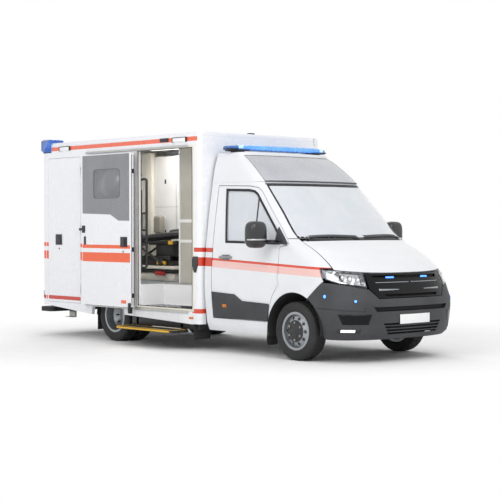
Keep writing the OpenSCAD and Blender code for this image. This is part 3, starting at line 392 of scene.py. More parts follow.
def panel(name, node, material, body, rows=cab_rows, keep=None):
    """A copy of a packed panel, joined up and shaded by its skin, that stands for the node."""
    bm = bmesh.new()
    bm.from_mesh(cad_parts[node].data)
    bmesh.ops.remove_doubles(bm, verts=bm.verts, dist=2e-5)
    bmesh.ops.dissolve_degenerate(bm, edges=bm.edges, dist=1e-5)
    if keep:
        gone = [f for f in bm.faces if not keep(f.calc_center_median(), f.normal)]
        bmesh.ops.delete(bm, geom=gone, context="FACES")
    made = piece(name, bm, material, body)
    mesh = made.data
    outward = [skin_normal(rows, v.co) for v in mesh.vertices]
    shading = []
    for face in mesh.polygons:
        for k in face.vertices:
            lean = outward[k].dot(face.normal)
            shading.append(outward[k] * math.copysign(1, lean) if abs(lean) > 0.92 else face.normal.copy())
    mesh.normals_split_custom_set(shading)
    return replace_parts(made, node)


def enamel(name):
    """Baked enamel: white with a cool cast, glossy under a clear coat, with a faint wave of the pressing.

    The spray's own grain is too fine to show, so only the wave of about 220 mm is drawn.
    """
    return surface(name, "#E3E5E9", "#E9EBEE", 220, 0.1, (0.22, 0.27), Coat_Weight=0.5, Coat_Roughness=0.06)


def bands(material, rows, beyond=-1.0):
    """Lays film bands on a finish, where it lies further than beyond from the centre line.

    Each row has a slope, a middle height, half a height, a colour, and an x range in metres.
    """
    tree = material.node_tree
    base = tree.nodes["Principled BSDF"].inputs["Base Color"]
    tone = base.links[0].from_socket
    xyz = add(tree, "SeparateXYZ", {0: add(tree, "TexCoord").outputs["Object"]}).outputs
    off = add(tree, "Math", {0: xyz[1]}, operation="ABSOLUTE").outputs[0]
    outside = add(tree, "Math", {0: off, 1: beyond}, operation="GREATER_THAN").outputs[0]
    for slope, middle, half, code, x0, x1 in rows:
        level = add(tree, "Math", {0: xyz[0], 1: slope, 2: xyz[2]}, operation="MULTIPLY_ADD").outputs[0]
        within = add(tree, "Math", {0: level, 1: middle, 2: half}, operation="COMPARE").outputs[0]
        reach = add(tree, "Math", {0: xyz[0], 1: (x0 + x1) / 2, 2: (x1 - x0) / 2}, operation="COMPARE")
        both = add(tree, "Math", {0: within, 1: reach.outputs[0]}, operation="MULTIPLY").outputs[0]
        shown = add(tree, "Math", {0: both, 1: outside}, operation="MULTIPLY").outputs[0]
        tone = add(tree, "Mix", {0: shown, 6: tone, 7: colour(code)}, data_type="RGBA").outputs[2]
    tree.links.new(tone, base)


white_enamel, striped_enamel = enamel("white_baked_enamel"), enamel("white_enamel_with_bands")
waist_slope, belt_slope = 0.0407, 0.011
upper_bar_z, lower_bar_z = 1.2975, 1.147
bands(striped_enamel, [(waist_slope, 1.208, 0.0145, "#D8472C", 0.758, 2.8),
    (waist_slope, 1.15, 0.0425, "#F0C3BD", 0.758, 2.8),
    (belt_slope, upper_bar_z, 0.0275, "#D0402A", 0.6, 0.754),
    (belt_slope, lower_bar_z, 0.056, "#CE3C26", 0.6, 0.754)])
dress("cab_tub", white_enamel, 0.004)
for name in ("left", "right"):
    panel("side_frame_" + name, "body_side_" + name, striped_enamel, "vehicle")
panel("wing_panels", "front_wings", striped_enamel, "vehicle")

# Bonnet: one pressed steel panel in the cab's white enamel, hinged under the windscreen.
# It carries the skin's curve on from the windscreen to the grille.
panel("bonnet_panel", "bonnet", white_enamel, "bonnet")


# Bumper: one injection moulding with a ribbed lower intake, clipped to the front beam. Behind its slots sit
# black nets, gloss black inserts and fog lamps fill its corners, and a blank plate is screwed to the middle.
def s_of_width(y, z):
    """The s value of the cab's nose at a distance from the centre line, in millimetres."""
    w, n = along(cab_rows, z, 1), along(cab_rows, z, 4)
    return math.copysign(math.asin(min(1.0, (abs(y) / w) ** (n / 2))) / (math.pi / 2), y)


def on_nose(y, z, proud=0.0):
    """Point of the cab's nose at a distance from the centre line and a height, in millimetres."""
    return on_skin(cab_rows, z, s_of_width(y, z), proud)


def arch(t):
    """Rises from 0 to 1 and falls back to 0 as t goes from 0 to 1."""
    return math.sin(math.pi * t)


def sheet(bm, nu, nv, place, towards=None):
    """A grid laid through a place function of u and v from 0 to 1; towards is the side its faces look to."""
    made = bmesh.ops.create_grid(bm, x_segments=nu, y_segments=nv, size=0.5)
    for v in made["verts"]:
        v.co = place(v.co.x + 0.5, v.co.y + 0.5)
    faces = list(dict.fromkeys(f for v in made["verts"] for f in v.link_faces))
    for f in faces:
        f.normal_update()
    if sum(f.normal.dot(towards or skin_normal(cab_rows, f.calc_center_median())) for f in faces) < 0:
        bmesh.ops.reverse_faces(bm, faces=faces)


def pair(bm, nu, nv, place):
    """The same sheet on the left and on the right: place also takes the side, 1 or -1."""
    for side in (1, -1):
        sheet(bm, nu, nv, lambda u, v: place(u, v, side))


def thicken(made, depth):
    """Gives an open sheet its thickness, inwards from the face that shows."""
    wall = made.modifiers.new("thickness", "SOLIDIFY")
    wall.thickness = depth
    wall.offset = -1


# Grained polypropylene: charcoal grey with a leathery grain and a dull sheen.
grained_plastic = surface("grained_polypropylene", "#343538", "#404144", 3, 0.4, (0.55, 0.7))
# Gloss black plastic: deep black with clear but weak reflections.
gloss_black = surface("gloss_black_plastic", "#08090B", "#0E0F12", 12, 0.0, (0.16, 0.26),
    Specular_IOR_Level=0.22)
# Black plastic net: soaks up light, so a slot looks deep.
net_black = surface("black_plastic_net", "#0A0A0B", "#131314", 6, 2.0, (0.7, 0.9))
# Lit white lamp: a warm white lens that glows evenly.
bright_lamp = surface("lit_white_lamp", "#F4F6F8", "#FFFFFF", 6, 0.3, (0.2, 0.35),
    Emission_Color=colour("#FFF8EC"), Emission_Strength=0.8)
# Lit blue lamp: a saturated blue that outshines the paint around it.
blue_lit = surface("lit_blue_lamp", "#2E6BFF", "#63A0FF", 5, 0.3, (0.1, 0.2),
    Emission_Color=colour("#4C88FF"), Emission_Strength=2.2)
panel("bumper_moulding", "front_bumper", grained_plastic, "vehicle")


def nets(name, slots, columns, level, depth):
    """Nets behind slots: each slot has its lowest and highest point and its reach from the centre line."""
    bm = bmesh.new()
    for low, high, reach in slots:
        sheet(bm, columns, 3, lambda u, v: on_skin(cab_rows, low + (high - low) * v,
            s_of_width((2 * u - 1) * reach, level), -depth))
    thicken(piece(name, bm, net_black, "vehicle"), 0.004)


nets("bumper_nets", ((596, 668, 660), (318, 480, 520)), 28, 520, 0.034)
bm = bmesh.new()
pair(bm, 14, 6, lambda u, v, side: on_nose(side * (690 - 30 * v + (235 + 65 * v) * u), 462 + 116 * v, 0.0025))
thicken(piece("bumper_corner_inserts", bm, gloss_black, "vehicle"), 0.006)
bm = bmesh.new()
pair(bm, 12, 4, lambda u, v, side: on_nose(side * (822 + 105 * u), 372 + 30 * v, 0.003 + 0.003 * arch(v)))
thicken(piece("fog_lamps", bm, bright_lamp, "vehicle"), 0.008)
bm = bmesh.new()
pair(bm, 12, 4, lambda u, v, side: on_nose(side * (770 + 175 * u), 362 + 50 * v, 0.0015))
pair(bm, 24, 3, lambda u, v, side: on_skin(cab_rows, 606 + 10 * v + 30 * u, side * (0.44 + 0.6 * u),
    0.0018 * arch(v) + 0.0005))
thicken(piece("bumper_trims", bm, hub_plastic, "vehicle"), 0.003)

# Blank plate: smooth white sheet with a soft gloss.
plate_white = surface("blank_plate", "#ECEDEE", "#F3F4F4", 15, 0.0, (0.25, 0.35))
boxes("front_plate_holder", [((3.2495, -0.268, 0.449), (3.2535, 0.268, 0.571), 0.002)], hub_plastic)
boxes("front_plate", [((3.2525, -0.26, 0.455), (3.256, 0.26, 0.565), 0.0015)], plate_white)


def dome(bm, centre, towards, radius, rise):
    """A shallow dome standing on a surface."""
    turn = Vector((0, 0, 1)).rotation_difference(Vector(towards)).to_matrix().to_4x4()
    profile = [(0.0001, rise), (radius * 0.45, rise * 0.88), (radius * 0.8, rise * 0.5), (radius, 0.0),
        (radius, -0.004)]
    lathe(bm, profile, Matrix.Translation(centre) @ turn, 24)


lamps, rims = bmesh.new(), bmesh.new()
for side in (1, -1):
    for at, radius, rise, rim in ((on_side(524, 780, side), 0.021, 0.007, 0.03),
            (on_nose(side * 834, 730), 0.017, 0.006, 0.025)):
        out = skin_normal(cab_rows, at)
        dome(lamps, at + out * 0.002, out, radius, rise)
        dome(rims, at, out, rim, 0.004)
    for y, z in ((300, 560), (740, 640)):
        at = on_nose(side * y, z)
        dome(rims, at, skin_normal(cab_rows, at), 0.012, 0.002)
piece("bumper_blue_lamps", lamps, blue_lit, "vehicle")
piece("bumper_lamp_rims", rims, hub_plastic, "vehicle")

# Grille: a gloss black moulding clipped between the headlamps, with two slots, satin wings beside its bare
# middle and two blue flashers behind the upper slot.
panel("grille_moulding", "grille", gloss_black, "vehicle")
# Satin silver plastic: mid grey with a soft metallic gleam.
satin_silver = surface("satin_silver_plastic", "#8C8F93", "#A4A7AB", 8, 0.1, (0.3, 0.42), Metallic=0.6)
nets("grille_nets", ((974, 1026, 575), (770, 808, 475)), 24, 900, 0.036)
bm = bmesh.new()
pair(bm, 14, 3, lambda u, v, side: on_nose(side * (520 - 300 * u),
    846 + 22 * v * (1 - u) + 6 * u + 8 * u * v, -0.0035))
pair(bm, 18, 3, lambda u, v, side: on_nose(side * (20 + 520 * u), 935 + 9 * v, -0.0035 + 0.002 * arch(v)))
thicken(piece("grille_wings", bm, satin_silver, "vehicle"), 0.003)
bm = bmesh.new()
pair(bm, 10, 4, lambda u, v, side: on_nose(side * 300 - 60 + 120 * u, 990 + 20 * v, -0.012 + 0.005 * arch(v)))
thicken(piece("grille_blue_lamps", bm, blue_lit, "vehicle"), 0.012)


# Headlamps: a clear moulded cover bonded over a bright-plated housing, with dark frames, three lens units
# and a white running light that turns the outer corner.
def faces_skin(middle, normal):
    """Whether a face of a panel copy lies on the cab's outer skin."""
    return normal.dot(skin_normal(cab_rows, middle)) > 0.9


# Clear polycarbonate: water-clear, with sharp highlights.
clear_cover = surface("clear_polycarbonate", "#F4F7F9", "#FFFFFF", 20, 0.0, (0.02, 0.05),
    Transmission_Weight=1.0, IOR=1.58)
# Bright-plated plastic: pale mirror-like metal, slightly clouded.
plated = surface("bright_plated_plastic", "#C9CDD2", "#DDE0E4", 15, 0.0, (0.3, 0.4), Metallic=0.9)
thicken(panel("headlamp_covers", "headlamps", clear_cover, "vehicle", keep=faces_skin), 0.003)
panel("headlamp_housings", "headlamps", plated, "vehicle",
    keep=lambda middle, normal: not faces_skin(middle, normal))
dark, glow, lenses = bmesh.new(), bmesh.new(), bmesh.new()
pair(glow, 22, 2, lambda u, v, side: on_skin(cab_rows, 893 + 44 * u + 60 * u ** 3 + 15 * v,
    side * (0.42 + 0.36 * u), -0.014))
pair(glow, 8, 2, lambda u, v, side: on_skin(cab_rows, 990 + 74 * u,
    side * (0.775 - 0.1 * u + 0.022 * v), -0.014))
pair(dark, 16, 2, lambda u, v, side: on_skin(cab_rows, 1030 + 22 * u + 12 * v,
    side * (0.41 + 0.26 * u), -0.018))
pair(dark, 18, 2, lambda u, v, side: on_skin(cab_rows, 916 + 52 * u + 9 * v,
    side * (0.415 + 0.31 * u), -0.02))
lens = [(0.0001, 0.014), (0.012, 0.0125), (0.02, 0.008), (0.024, 0.002), (0.026, -0.004)]
for side in (1, -1):
    for k in range(3):
        at = on_skin(cab_rows, 985 + 12 * k, side * (0.455 + 0.085 * k), -0.032)
        out = (skin_normal(cab_rows, at) + Vector((1.2, 0, 0))).normalized()
        turn = Vector((0, 0, 1)).rotation_difference(out).to_matrix().to_4x4()
        block(dark, at - Vector((0.012, 0.042, 0.03)), at + Vector((0.004, 0.042, 0.03)), 0.006)
        lathe(lenses, lens, Matrix.Translation(at + Vector((0.008, 0, 0))) @ turn, 28)
thicken(piece("headlamp_running_lights", glow, bright_lamp, "vehicle"), 0.004)
piece("headlamp_frames", dark, hub_plastic, "vehicle")
piece("headlamp_lenses", lenses, plated, "vehicle")

# Windscreen: curved laminated glass bonded into the cab, with a black printed border, above a moulded
# cowl panel with two wipers and below a black strip on the roof edge that paints the shade of the gap there.
# Laminated glass: half clear, with a pale bluish colour that paints a reflection of the sky, and a strong
# real reflection of the sky from its coat.
glass = surface("laminated_glass_painted_sky", "#E9F0F8", "#F5F9FF", 400, 0.0, (0.01, 0.02),
    Transmission_Weight=0.34, IOR=1.5, Coat_Weight=1.0, Coat_IOR=1.9)
# Fired print on glass: black with the smoothness of the pane.
print_black = surface("black_glass_print", "#121315", "#1B1C1E", 10, 0.0, (0.2, 0.3))
panel("windscreen_pane", "windscreen", glass, "vehicle")
panel("cowl_panel", "cowl_and_wipers", hub_plastic, "vehicle")
print_s, print_depth = 0.7, -0.0025
bm = bmesh.new()
for low, high in ((1449, 26), (2086, 13)):
    sheet(bm, 40, 2, lambda u, v: on_skin(cab_rows, low + high * v, print_s * (2 * u - 1), print_depth))
pair(bm, 2, 24, lambda u, v, side: on_skin(cab_rows, 1449 + 650 * v,
    side * (print_s - 0.03 * u), print_depth))
piece("windscreen_border", bm, print_black, "vehicle")
# A black strip along the roof edge is painted shade of the gap at the top of the windscreen.
bm = bmesh.new()
sheet(bm, 48, 3, lambda u, v: on_skin(cab_rows, 2100 + 18 * v, 0.715 * (2 * u - 1), 0.0012))
thicken(piece("roof_edge_gap_shade", bm, hub_plastic, "vehicle"), 0.004)
bm = bmesh.new()
for s0, s1 in ((-0.53, -0.02), (0.02, 0.53)):
    sheet(bm, 20, 3, lambda u, v: on_skin(cab_rows, 1470 + 12 * arch(u) + 7 * v, s0 + (s1 - s0) * u,
        0.002 + 0.002 * arch(v)))
    at = on_skin(cab_rows, 1440, s1 - 0.015, 0.009)
    dome(bm, at, skin_normal(cab_rows, at), 0.016, 0.01)
thicken(piece("wiper_blades", bm, hub_plastic, "vehicle"), 0.005)

# Cab doors: pressed steel panels hung on two hinges, with a bonded pane behind a rubber channel. Grey
# cladding is clipped along the foot, and a bow handle stands over a shallow dish; the grey of handle and dish
# is painted shade.
# Moulded dish: flat mid grey with a soft sheen; its grey paints the shade in the recess behind the handle.
dish_shade_grey = surface("handle_recess_painted_shade", "#6E7176", "#7C7F84", 5, 0.1, (0.4, 0.5))
# Amber lamp cover: orange, glossy and slightly see-through.
amber = surface("amber_lamp_cover", "#E07818", "#F09028", 5, 0.3, (0.12, 0.2),
    Transmission_Weight=0.2, IOR=1.49)
# Extruded rubber: black and dull, with a faint skin.
cut_rubber = surface("extruded_rubber", "#17181A", "#222325", 3, 0.2, (0.55, 0.7))
window_edge = [(-1238, 1396), (-262, 1384), (-228, 1430), (-738, 1985), (-800, 2020),
    (-900, 2036), (-1322, 2050)]
sides = {"left": 1, "right": -1}


def outset(outline, grow):
    """Corners of a closed outline, anticlockwise, moved outwards along their bisectors."""
    moved = []
    for i, at in enumerate(outline):
        after = outline[(i + 1) % len(outline)]
        a = Vector((at[0] - outline[i - 1][0], at[1] - outline[i - 1][1])).normalized()
        b = Vector((after[0] - at[0], after[1] - at[1])).normalized()
        first, second = Vector((a.y, -a.x)), Vector((b.y, -b.x))
        middle = (first + second).normalized()
        moved.append(Vector(at) + middle * grow / max(0.3, middle.dot(first)))
    return moved


def border(bm, outline, inner, outer, place, towards, step=40):
    """A band between two offsets of an outline, laid through a place function of the outline's two values."""
    loops = []
    for grow in (outer, inner):
        corners = outset(outline, grow)
        points = []
        for i, a in enumerate(corners):
            k = (i + 1) % len(corners)
            count = max(1, round((Vector(outline[k]) - Vector(outline[i])).length / step))
            points += [bm.verts.new(place(*(a + (corners[k] - a) * n / count))) for n in range(count)]
        loops += [bm.edges.new((p, points[(i + 1) % len(points)])) for i, p in enumerate(points)]
    faces = bmesh.ops.bridge_loops(bm, edges=loops)["faces"]
    for f in faces:
        f.normal_update()
    if sum(f.normal.dot(Vector(towards)) for f in faces) < 0:
        bmesh.ops.reverse_faces(bm, faces=faces)


for name, side in sides.items():
    body = "cab_door_" + name
    panel("door_panel_" + name, "door_" + name, striped_enamel, body)
    panel("door_pane_" + name, "door_glass_" + name, glass, body)
    bm = bmesh.new()
    border(bm, window_edge, -16, 14, lambda x, z: on_side(x, z, side, 0.002), (0, side, 0))
    sheet(bm, 2, 14, lambda u, v: on_side(-724 + 20 * u, 1394 + 570 * v, side, -0.009))
    thicken(piece("door_window_channel_" + name, bm, cut_rubber, body), 0.004)
    bm = bmesh.new()
    sheet(bm, 10, 6, lambda u, v: on_side(-1300 + 146 * u, 1168 + 68 * v, side,
        0.0008 + 0.0008 * arch(u) * arch(v)))
    thicken(piece("door_handle_dish_" + name, bm, dish_shade_grey, body), 0.002)

    def handle(u, v):
        """Point of the bow handle, along it and around it."""
        a = 2 * math.pi * v
        rise = 0.008 + 0.016 * arch(min(1, max(0, u))) ** 0.5
        at = on_side(-1346 + 236 * u, 1202, side, rise)
        return at + Vector((0, 0, 0.015)) * math.cos(a) + skin_normal(cab_rows, at) * 0.006 * math.sin(a)

    bm = bmesh.new()
    sheet(bm, 18, 14, handle)
    bmesh.ops.remove_doubles(bm, verts=bm.verts, dist=1e-5)
    bmesh.ops.recalc_face_normals(bm, faces=bm.faces)
    # The handle takes the satin silver grey, which paints the shade on a handle that is white like the door.
    piece("door_handle_" + name, bm, satin_silver, body, 60)
    bm = bmesh.new()
    sheet(bm, 8, 4, lambda u, v: on_side(-1284 + 76 * u, 578 + 40 * v, side,
        0.0125 + 0.006 * arch(u) * arch(v)))
    thicken(piece("side_marker_" + name, bm, amber, body), 0.004)

# Door mirrors: a moulded shell on a folding arm, with a plated band round its front and an upper and a
# wide-angle lower glass bonded into its back. The cladding of the door carries the arm.
# Grained black plastic: charcoal with a clear sheen on its upper faces.
mirror_black = surface("gloss_grained_black", "#1D1E20", "#2A2B2E", 4, 0.2, (0.3, 0.4), Coat_Weight=0.3)
# Silvered glass: a clean, pale reflection.
mirror_silver = surface("silvered_glass", "#B9C2C8", "#C9D0D5", 60, 0.0, (0.01, 0.03), Metallic=1.0)
mirror_x, mirror_y, mirror_z = 1.805, 1.211, 1.49
mirror_half, roundness, flat_back = Vector((0.096, 0.1295, 0.161)), 3.6, 0.95


def pebble(bm, half, power, cuts, shape):
    """A rounded box: a finely cut cube drawn onto a superellipsoid, then through a shape function."""
    made = bmesh.new()
    bmesh.ops.create_cube(made, size=2.0)
    bmesh.ops.subdivide_edges(made, edges=made.edges[:], cuts=cuts, use_grid_fill=True)
    for v in made.verts:
        reach = sum(abs(c) ** power for c in v.co) ** (1 / power)
        v.co = shape(Vector([c / reach * h for c, h in zip(v.co, half)]))
    join(bm, made)


for name, side in sides.items():
    body = "cab_door_" + name
    panel("door_cladding_" + name, "door_trim_" + name, grained_plastic, body,
        keep=lambda at, n: abs(at.y) < 1.06 and not (0.88 < at.x < 1.14 and at.z > 1.17))
    middle = Vector((mirror_x, side * mirror_y, mirror_z))
    bm = bmesh.new()
    pebble(bm, mirror_half, roundness, 11,
        lambda at: middle + Vector((at.x if at.x > 0 else at.x * flat_back, at.y, at.z)))
    block(bm, (1.842, side * 1.0, 1.394), (1.978, side * 1.1, 1.426), 0.008)
    piece("mirror_shell_" + name, bm, mirror_black, body, 60)

    def plated_band(u, v):
        """Point of the band that runs round the front of the shell."""
        a = math.pi * (1.08 * u - 0.04)
        z = -0.42 + 0.1 * v
        k = 1.012 * (1 - abs(z) ** roundness) ** (1 / roundness)
        c, s = math.cos(a), math.sin(a)
        k *= (abs(c) ** roundness + abs(s) ** roundness) ** (-1 / roundness)
        across = mirror_half.x if s > 0 else mirror_half.x * flat_back
        return middle + Vector((s * k * across, side * c * k * mirror_half.y, z * mirror_half.z))

    bm = bmesh.new()
    sheet(bm, 36, 3, plated_band, (1, 0, 0))
    thicken(piece("mirror_band_" + name, bm, plated, body), 0.003)
    bm = bmesh.new()
    for low, high in ((-0.12, 0.7), (-0.68, -0.22)):
        def silvered(u, v):
            """Point of a glass, slightly bowed and narrower at its ends."""
            y = (2 * u - 1) * (1 - 0.1 * (2 * v - 1) ** 6)
            x = -flat_back * mirror_half.x - 0.0005 - 0.001 * (1 - y * y)
            return middle + Vector((x, y * mirror_half.y * 0.72, mirror_half.z * (low + (high - low) * v)))

        sheet(bm, 12, 8, silvered, (-1, 0, 0))
    thicken(piece("mirror_glass_" + name, bm, mirror_silver, body), 0.002)

# Cab fittings: a foamed dashboard with a hooded dial case, vents and a screen, and a leather-bound steering
# wheel on its column.
# Foamed skin: dark grey, soft and matt with a fine grain.
foam_skin = surface("foamed_skin", "#35363A", "#424347", 2, 0.25, (0.55, 0.7))
# Black leather: close-grained with a hand-worn sheen.
leather = surface("black_leather", "#1B1B1D", "#28282A", 4, 0.4, (0.4, 0.55))
dress("dashboard", foam_skin, 0.012)
dress("steering_wheel", leather, 0.003)
hood = [((1.735, 0.24, 1.36), (1.875, 0.56, 1.425), 0.02), ((1.716, -0.16, 1.2), (1.745, 0.14, 1.36), 0.01)]
vents = [((1.72, y - 0.06, 1.27), (1.75, y + 0.06, 1.335), 0.008) for y in (-0.66, -0.34, 0.66)]
boxes("dash_hood_and_vents", hood + vents, hub_plastic)
boxes("dash_screen", [((1.7125, -0.13, 1.225), (1.718, 0.11, 1.345), 0.003),
    ((1.731, 0.27, 1.365), (1.737, 0.53, 1.41), 0.003)], gloss_black)

# Cab seats: covers sewn over moulded foam, with side wings, stitched channels and a headrest on two black
# posts. Each stands on a plastic-faced box bolted to the floor.
# Woven cover: dark grey cloth, matt with a soft edge of light.
woven = surface("woven_seat_cover", "#3E4046", "#4C4E55", 3, 0.8, (0.8, 0.95), Sheen_Weight=0.3)
seat_y, back_lean = 0.4, math.radians(75)


def cushion(bm, lo, hi, lean=0.0, pivot=None, power=5.0, seams=0):
    """A stuffed pad: a rounded box with crowned faces, sunk at its seams, leant about the y axis."""
    lo, hi = Vector(lo), Vector(hi)
    half = (hi - lo) / 2
    swing = Matrix.Rotation(lean, 4, "Y")

    def stuffed(at):
        """Crowns a point of the pad, sinks it near a seam and leans it."""
        share = [c / h for c, h in zip(at, half)]
        up = 1 if at.z > 0 else -1
        at.z += 0.1 * half.z * (1 - share[0] ** 2) * (1 - share[1] ** 2) * up
        for k in range(seams):
            line = -1 + 2 * (k + 1) / (seams + 1)
            at.z -= 0.16 * half.z * math.exp(-((share[0] - line) / 0.07) ** 2) * max(up, 0)
        at = (lo + hi) / 2 + at
        return Vector(pivot) + swing @ (at - Vector(pivot)) if lean else at

    pebble(bm, half, power, 15, stuffed)


frames = []
for name, y in (("driver", seat_y), ("passenger", -seat_y)):
    hinge = (0.86, y, 1.04)
    bm = bmesh.new()
    cushion(bm, (0.86, y - 0.235, 0.985), (1.385, y + 0.235, 1.115), seams=2)
    cushion(bm, (0.23, y - 0.235, 0.98), (0.95, y + 0.235, 1.1), back_lean, hinge, seams=3)
    for wing_y in (y - 0.205, y + 0.205):
        cushion(bm, (0.9, wing_y - 0.035, 1.0), (1.36, wing_y + 0.035, 1.135))
        cushion(bm, (0.35, wing_y - 0.035, 1.0), (0.9, wing_y + 0.035, 1.125), back_lean, hinge)
    cushion(bm, (0.705, y - 0.14, 1.765), (0.79, y + 0.14, 1.95))
    seat = piece("seat_" + name, bm, woven, "vehicle", 75)
    if name == "driver":
        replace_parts(seat, "seats")
    frames.append(((0.85, y - 0.22, 0.702), (1.3, y + 0.22, 0.99), 0.012))
    for post_y in (y - 0.06, y + 0.06):
        frames.append(((0.74, post_y - 0.006, 1.68), (0.752, post_y + 0.006, 1.78), 0.004))
boxes("seat_boxes", frames, hub_plastic)

# Roof spoiler: a glass-fibre shell laid up in a mould and bonded over the cab roof, painted white, with a
# grey panel let into its front behind a thin rubber seal.
# Grey gel coat: pale cool grey, smooth and glossy.
grey_paint = surface("grey_gel_coat", "#AEB0B7", "#BCBEC5", 18, 0.05, (0.25, 0.34), Coat_Weight=0.4)
spoiler_rows = [(2142, 880, -915, -515, 2.7), (2300, 850, -1070, -745, 2.7), (2420, 818, -1200, -950, 2.7),
    (2484, 798, -1290, -1075, 2.6), (2540, 770, -1380, -1200, 2.6)]
seal_s = 0.714
panel("spoiler_shell", "roof_spoiler", white_enamel, "vehicle", rows=spoiler_rows)
panel("spoiler_front", "spoiler_panel", grey_paint, "vehicle", rows=spoiler_rows)
bm = bmesh.new()
sheet(bm, 48, 3, lambda u, v: on_skin(cab_rows, 2117 + 27 * v, 0.713 * (2 * u - 1), 0.0016))
thicken(piece("spoiler_panel_lip", bm, grey_paint, "vehicle"), 0.004)
bm = bmesh.new()
for low, high in ((2142, 9), (2481, 6)):
    sheet(bm, 40, 2, lambda u, v: on_skin(spoiler_rows, low + high * v, seal_s * (2 * u - 1), 0.001),
        (1, 0, 0.4))
for side in (1, -1):
    sheet(bm, 2, 16, lambda u, v: on_skin(spoiler_rows, 2144 + 336 * v, side * (0.709 + 0.007 * u), 0.0012),
        (1, side, 0.4))
thicken(piece("spoiler_panel_seal", bm, cut_rubber, "vehicle"), 0.002)

# Light bar: a blue moulded cover in five lengths over rows of bright lamp modules, bolted to the spoiler on
# two black feet.
# Blue polycarbonate: light blue and see-through, glowing faintly from within.
blue_cover = surface("blue_polycarbonate", "#6DB2F4", "#90CAFB", 9, 0.4, (0.05, 0.12),
    Transmission_Weight=0.8, IOR=1.58, Emission_Color=colour("#2A78F0"), Emission_Strength=0.08)
# Deep blue polycarbonate: a stronger blue at the ends, less see-through.
deep_blue = surface("deep_blue_polycarbonate", "#3A80DE", "#5C9EEE", 9, 0.4, (0.05, 0.12),
    Transmission_Weight=0.6, IOR=1.58)
# Lit blue module: almost white, with a blue glow.
blue_bright = surface("lit_blue_module", "#A8D2FF", "#D6EBFF", 4, 0.2, (0.2, 0.3),
    Emission_Color=colour("#9CCBFF"), Emission_Strength=0.45)
bar_low, bar_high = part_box("light_bar")
bar_x, bar_z = (bar_low.x + bar_high.x) / 2, bar_high.z - 0.0375
bar_half_l, bar_half_w, bar_half_h, bar_power, foot_y = 0.875, 0.14, 0.0372, 3.4, 0.67


def bar_skin(y, a):
    """Point on the cover at a place along the bar and an angle about it."""
    t = abs(y) / bar_half_l
    taper = (1 - t ** 7) ** 0.5 if t < 1 else 0.0
    c, s = math.cos(a), math.sin(a)
    reach = (abs(c) ** bar_power + abs(s) ** bar_power) ** (-1 / bar_power) * taper
    return Vector((bar_x + c * reach * bar_half_w - 0.012 * t ** 6, y, bar_z + s * reach * bar_half_h))


for part, spans, finish in (("middle", ((-0.74, -0.255), (-0.25, 0.25), (0.255, 0.74)), blue_cover),
        ("ends", ((-0.8745, -0.745), (0.745, 0.8745)), deep_blue)):
    bm = bmesh.new()
    for y0, y1 in spans:
        sheet(bm, 24, 40, lambda u, v: bar_skin(y0 + (y1 - y0) * u, 2 * math.pi * v), (0, 0, 1))
        bmesh.ops.remove_doubles(bm, verts=bm.verts, dist=1e-6)
    bmesh.ops.holes_fill(bm, edges=[e for e in bm.edges if e.is_boundary])
    bmesh.ops.recalc_face_normals(bm, faces=bm.faces)
    made = piece("light_bar_cover_" + part, bm, finish, "vehicle", 50)
    if part == "middle":
        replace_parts(made, "light_bar")
modules = []
for i in range(16):
    y = -0.705 + 0.094 * i
    for x in (bar_x + 0.108, bar_x - 0.108):
        modules.append(((x - 0.016, y - 0.04, bar_z - 0.016), (x + 0.016, y + 0.04, bar_z + 0.02), 0.004))
boxes("light_bar_modules", modules, blue_bright)
feet = [((bar_x - 0.085, -0.84, bar_z - 0.03), (bar_x + 0.085, 0.84, bar_z - 0.012), 0.004)]
for y in (foot_y, -foot_y):
    feet.append(((bar_x - 0.09, y - 0.045, bar_low.z), (bar_x + 0.09, y + 0.045, bar_low.z + 0.04), 0.012))
    feet.append(((bar_x - 0.145, y - 0.09, bar_low.z + 0.02), (bar_x + 0.146, y + 0.09, bar_low.z + 0.036),
        0.006))
boxes("light_bar_feet", feet, hub_plastic)


# Body walls, roof and frames: sandwich panels of gel-coated glass fibre bonded into white corner profiles,
# with stuck film stripes along the belt, the foot and the roof edge.
def gel_coat(name):
    """White gel coat: a clean cool white under a clear skin, with a slow ripple from the mould."""
    return surface(name, "#EFF0F4", "#F1F2F6", 260, 0.04, (0.25, 0.3), Coat_Weight=0.35, Coat_Roughness=0.08)


def belt(x0, x1):
    """The two stripes along the body's belt between two places."""
    return [(belt_slope, upper_bar_z, 0.0285, belt_red, x0, x1),
        (belt_slope, lower_bar_z, 0.059, belt_red, x0, x1)]


body_y, body_front, body_rear = 1.07, 0.585, -2.99
wall_y, film_y = -body_y, 1.04
belt_red, edge_red, foot_red = "#EA5026", "#EE6E52", "#C8321E"
edge_z, foot_z, post_z = 2.7075, 0.561, 0.508
edges_and_foot = [(0.0, edge_z, 0.0275, edge_red, -2.78, 0.54), (0.0, foot_z, 0.027, foot_red, -3.0, -2.9)]
left_gel, right_gel = gel_coat("gel_coat_left_wall"), gel_coat("gel_coat_right_wall")
bands(left_gel, belt(-3.0, 0.575) + edges_and_foot, film_y)
bands(right_gel, belt(-3.0, -1.87) + [(belt_slope, upper_bar_z, 0.0275, "#E2583C", 0.445, 0.575),
    (belt_slope, lower_bar_z, 0.056, "#E0543A", 0.445, 0.575),
    (0.0, post_z, 0.029, "#DE4F36", 0.468, 0.54)] + edges_and_foot, film_y)
plain_gel, post_gel = gel_coat("plain_gel_coat"), gel_coat("gel_coat_front_wall")
bands(post_gel, [(belt_slope, upper_bar_z, 0.0275, "#D0402A", 0.43, 0.6),
    (belt_slope, lower_bar_z, 0.056, "#CE3C26", 0.43, 0.6), (0.0, post_z, 0.029, "#D6452C", 0.43, 0.6)])
bands(post_gel, [(0.0, edge_z, 0.0275, edge_red, 0.4, 0.54)], film_y)
dress("box_left_wall", left_gel, 0.003)
dress("box_right_wall", right_gel, 0.003)
dress("box_rear_frame", left_gel, 0.003)
dress("box_front_wall", post_gel, 0.003)
dress("box_roof", plain_gel, 0.004)
profiles = []
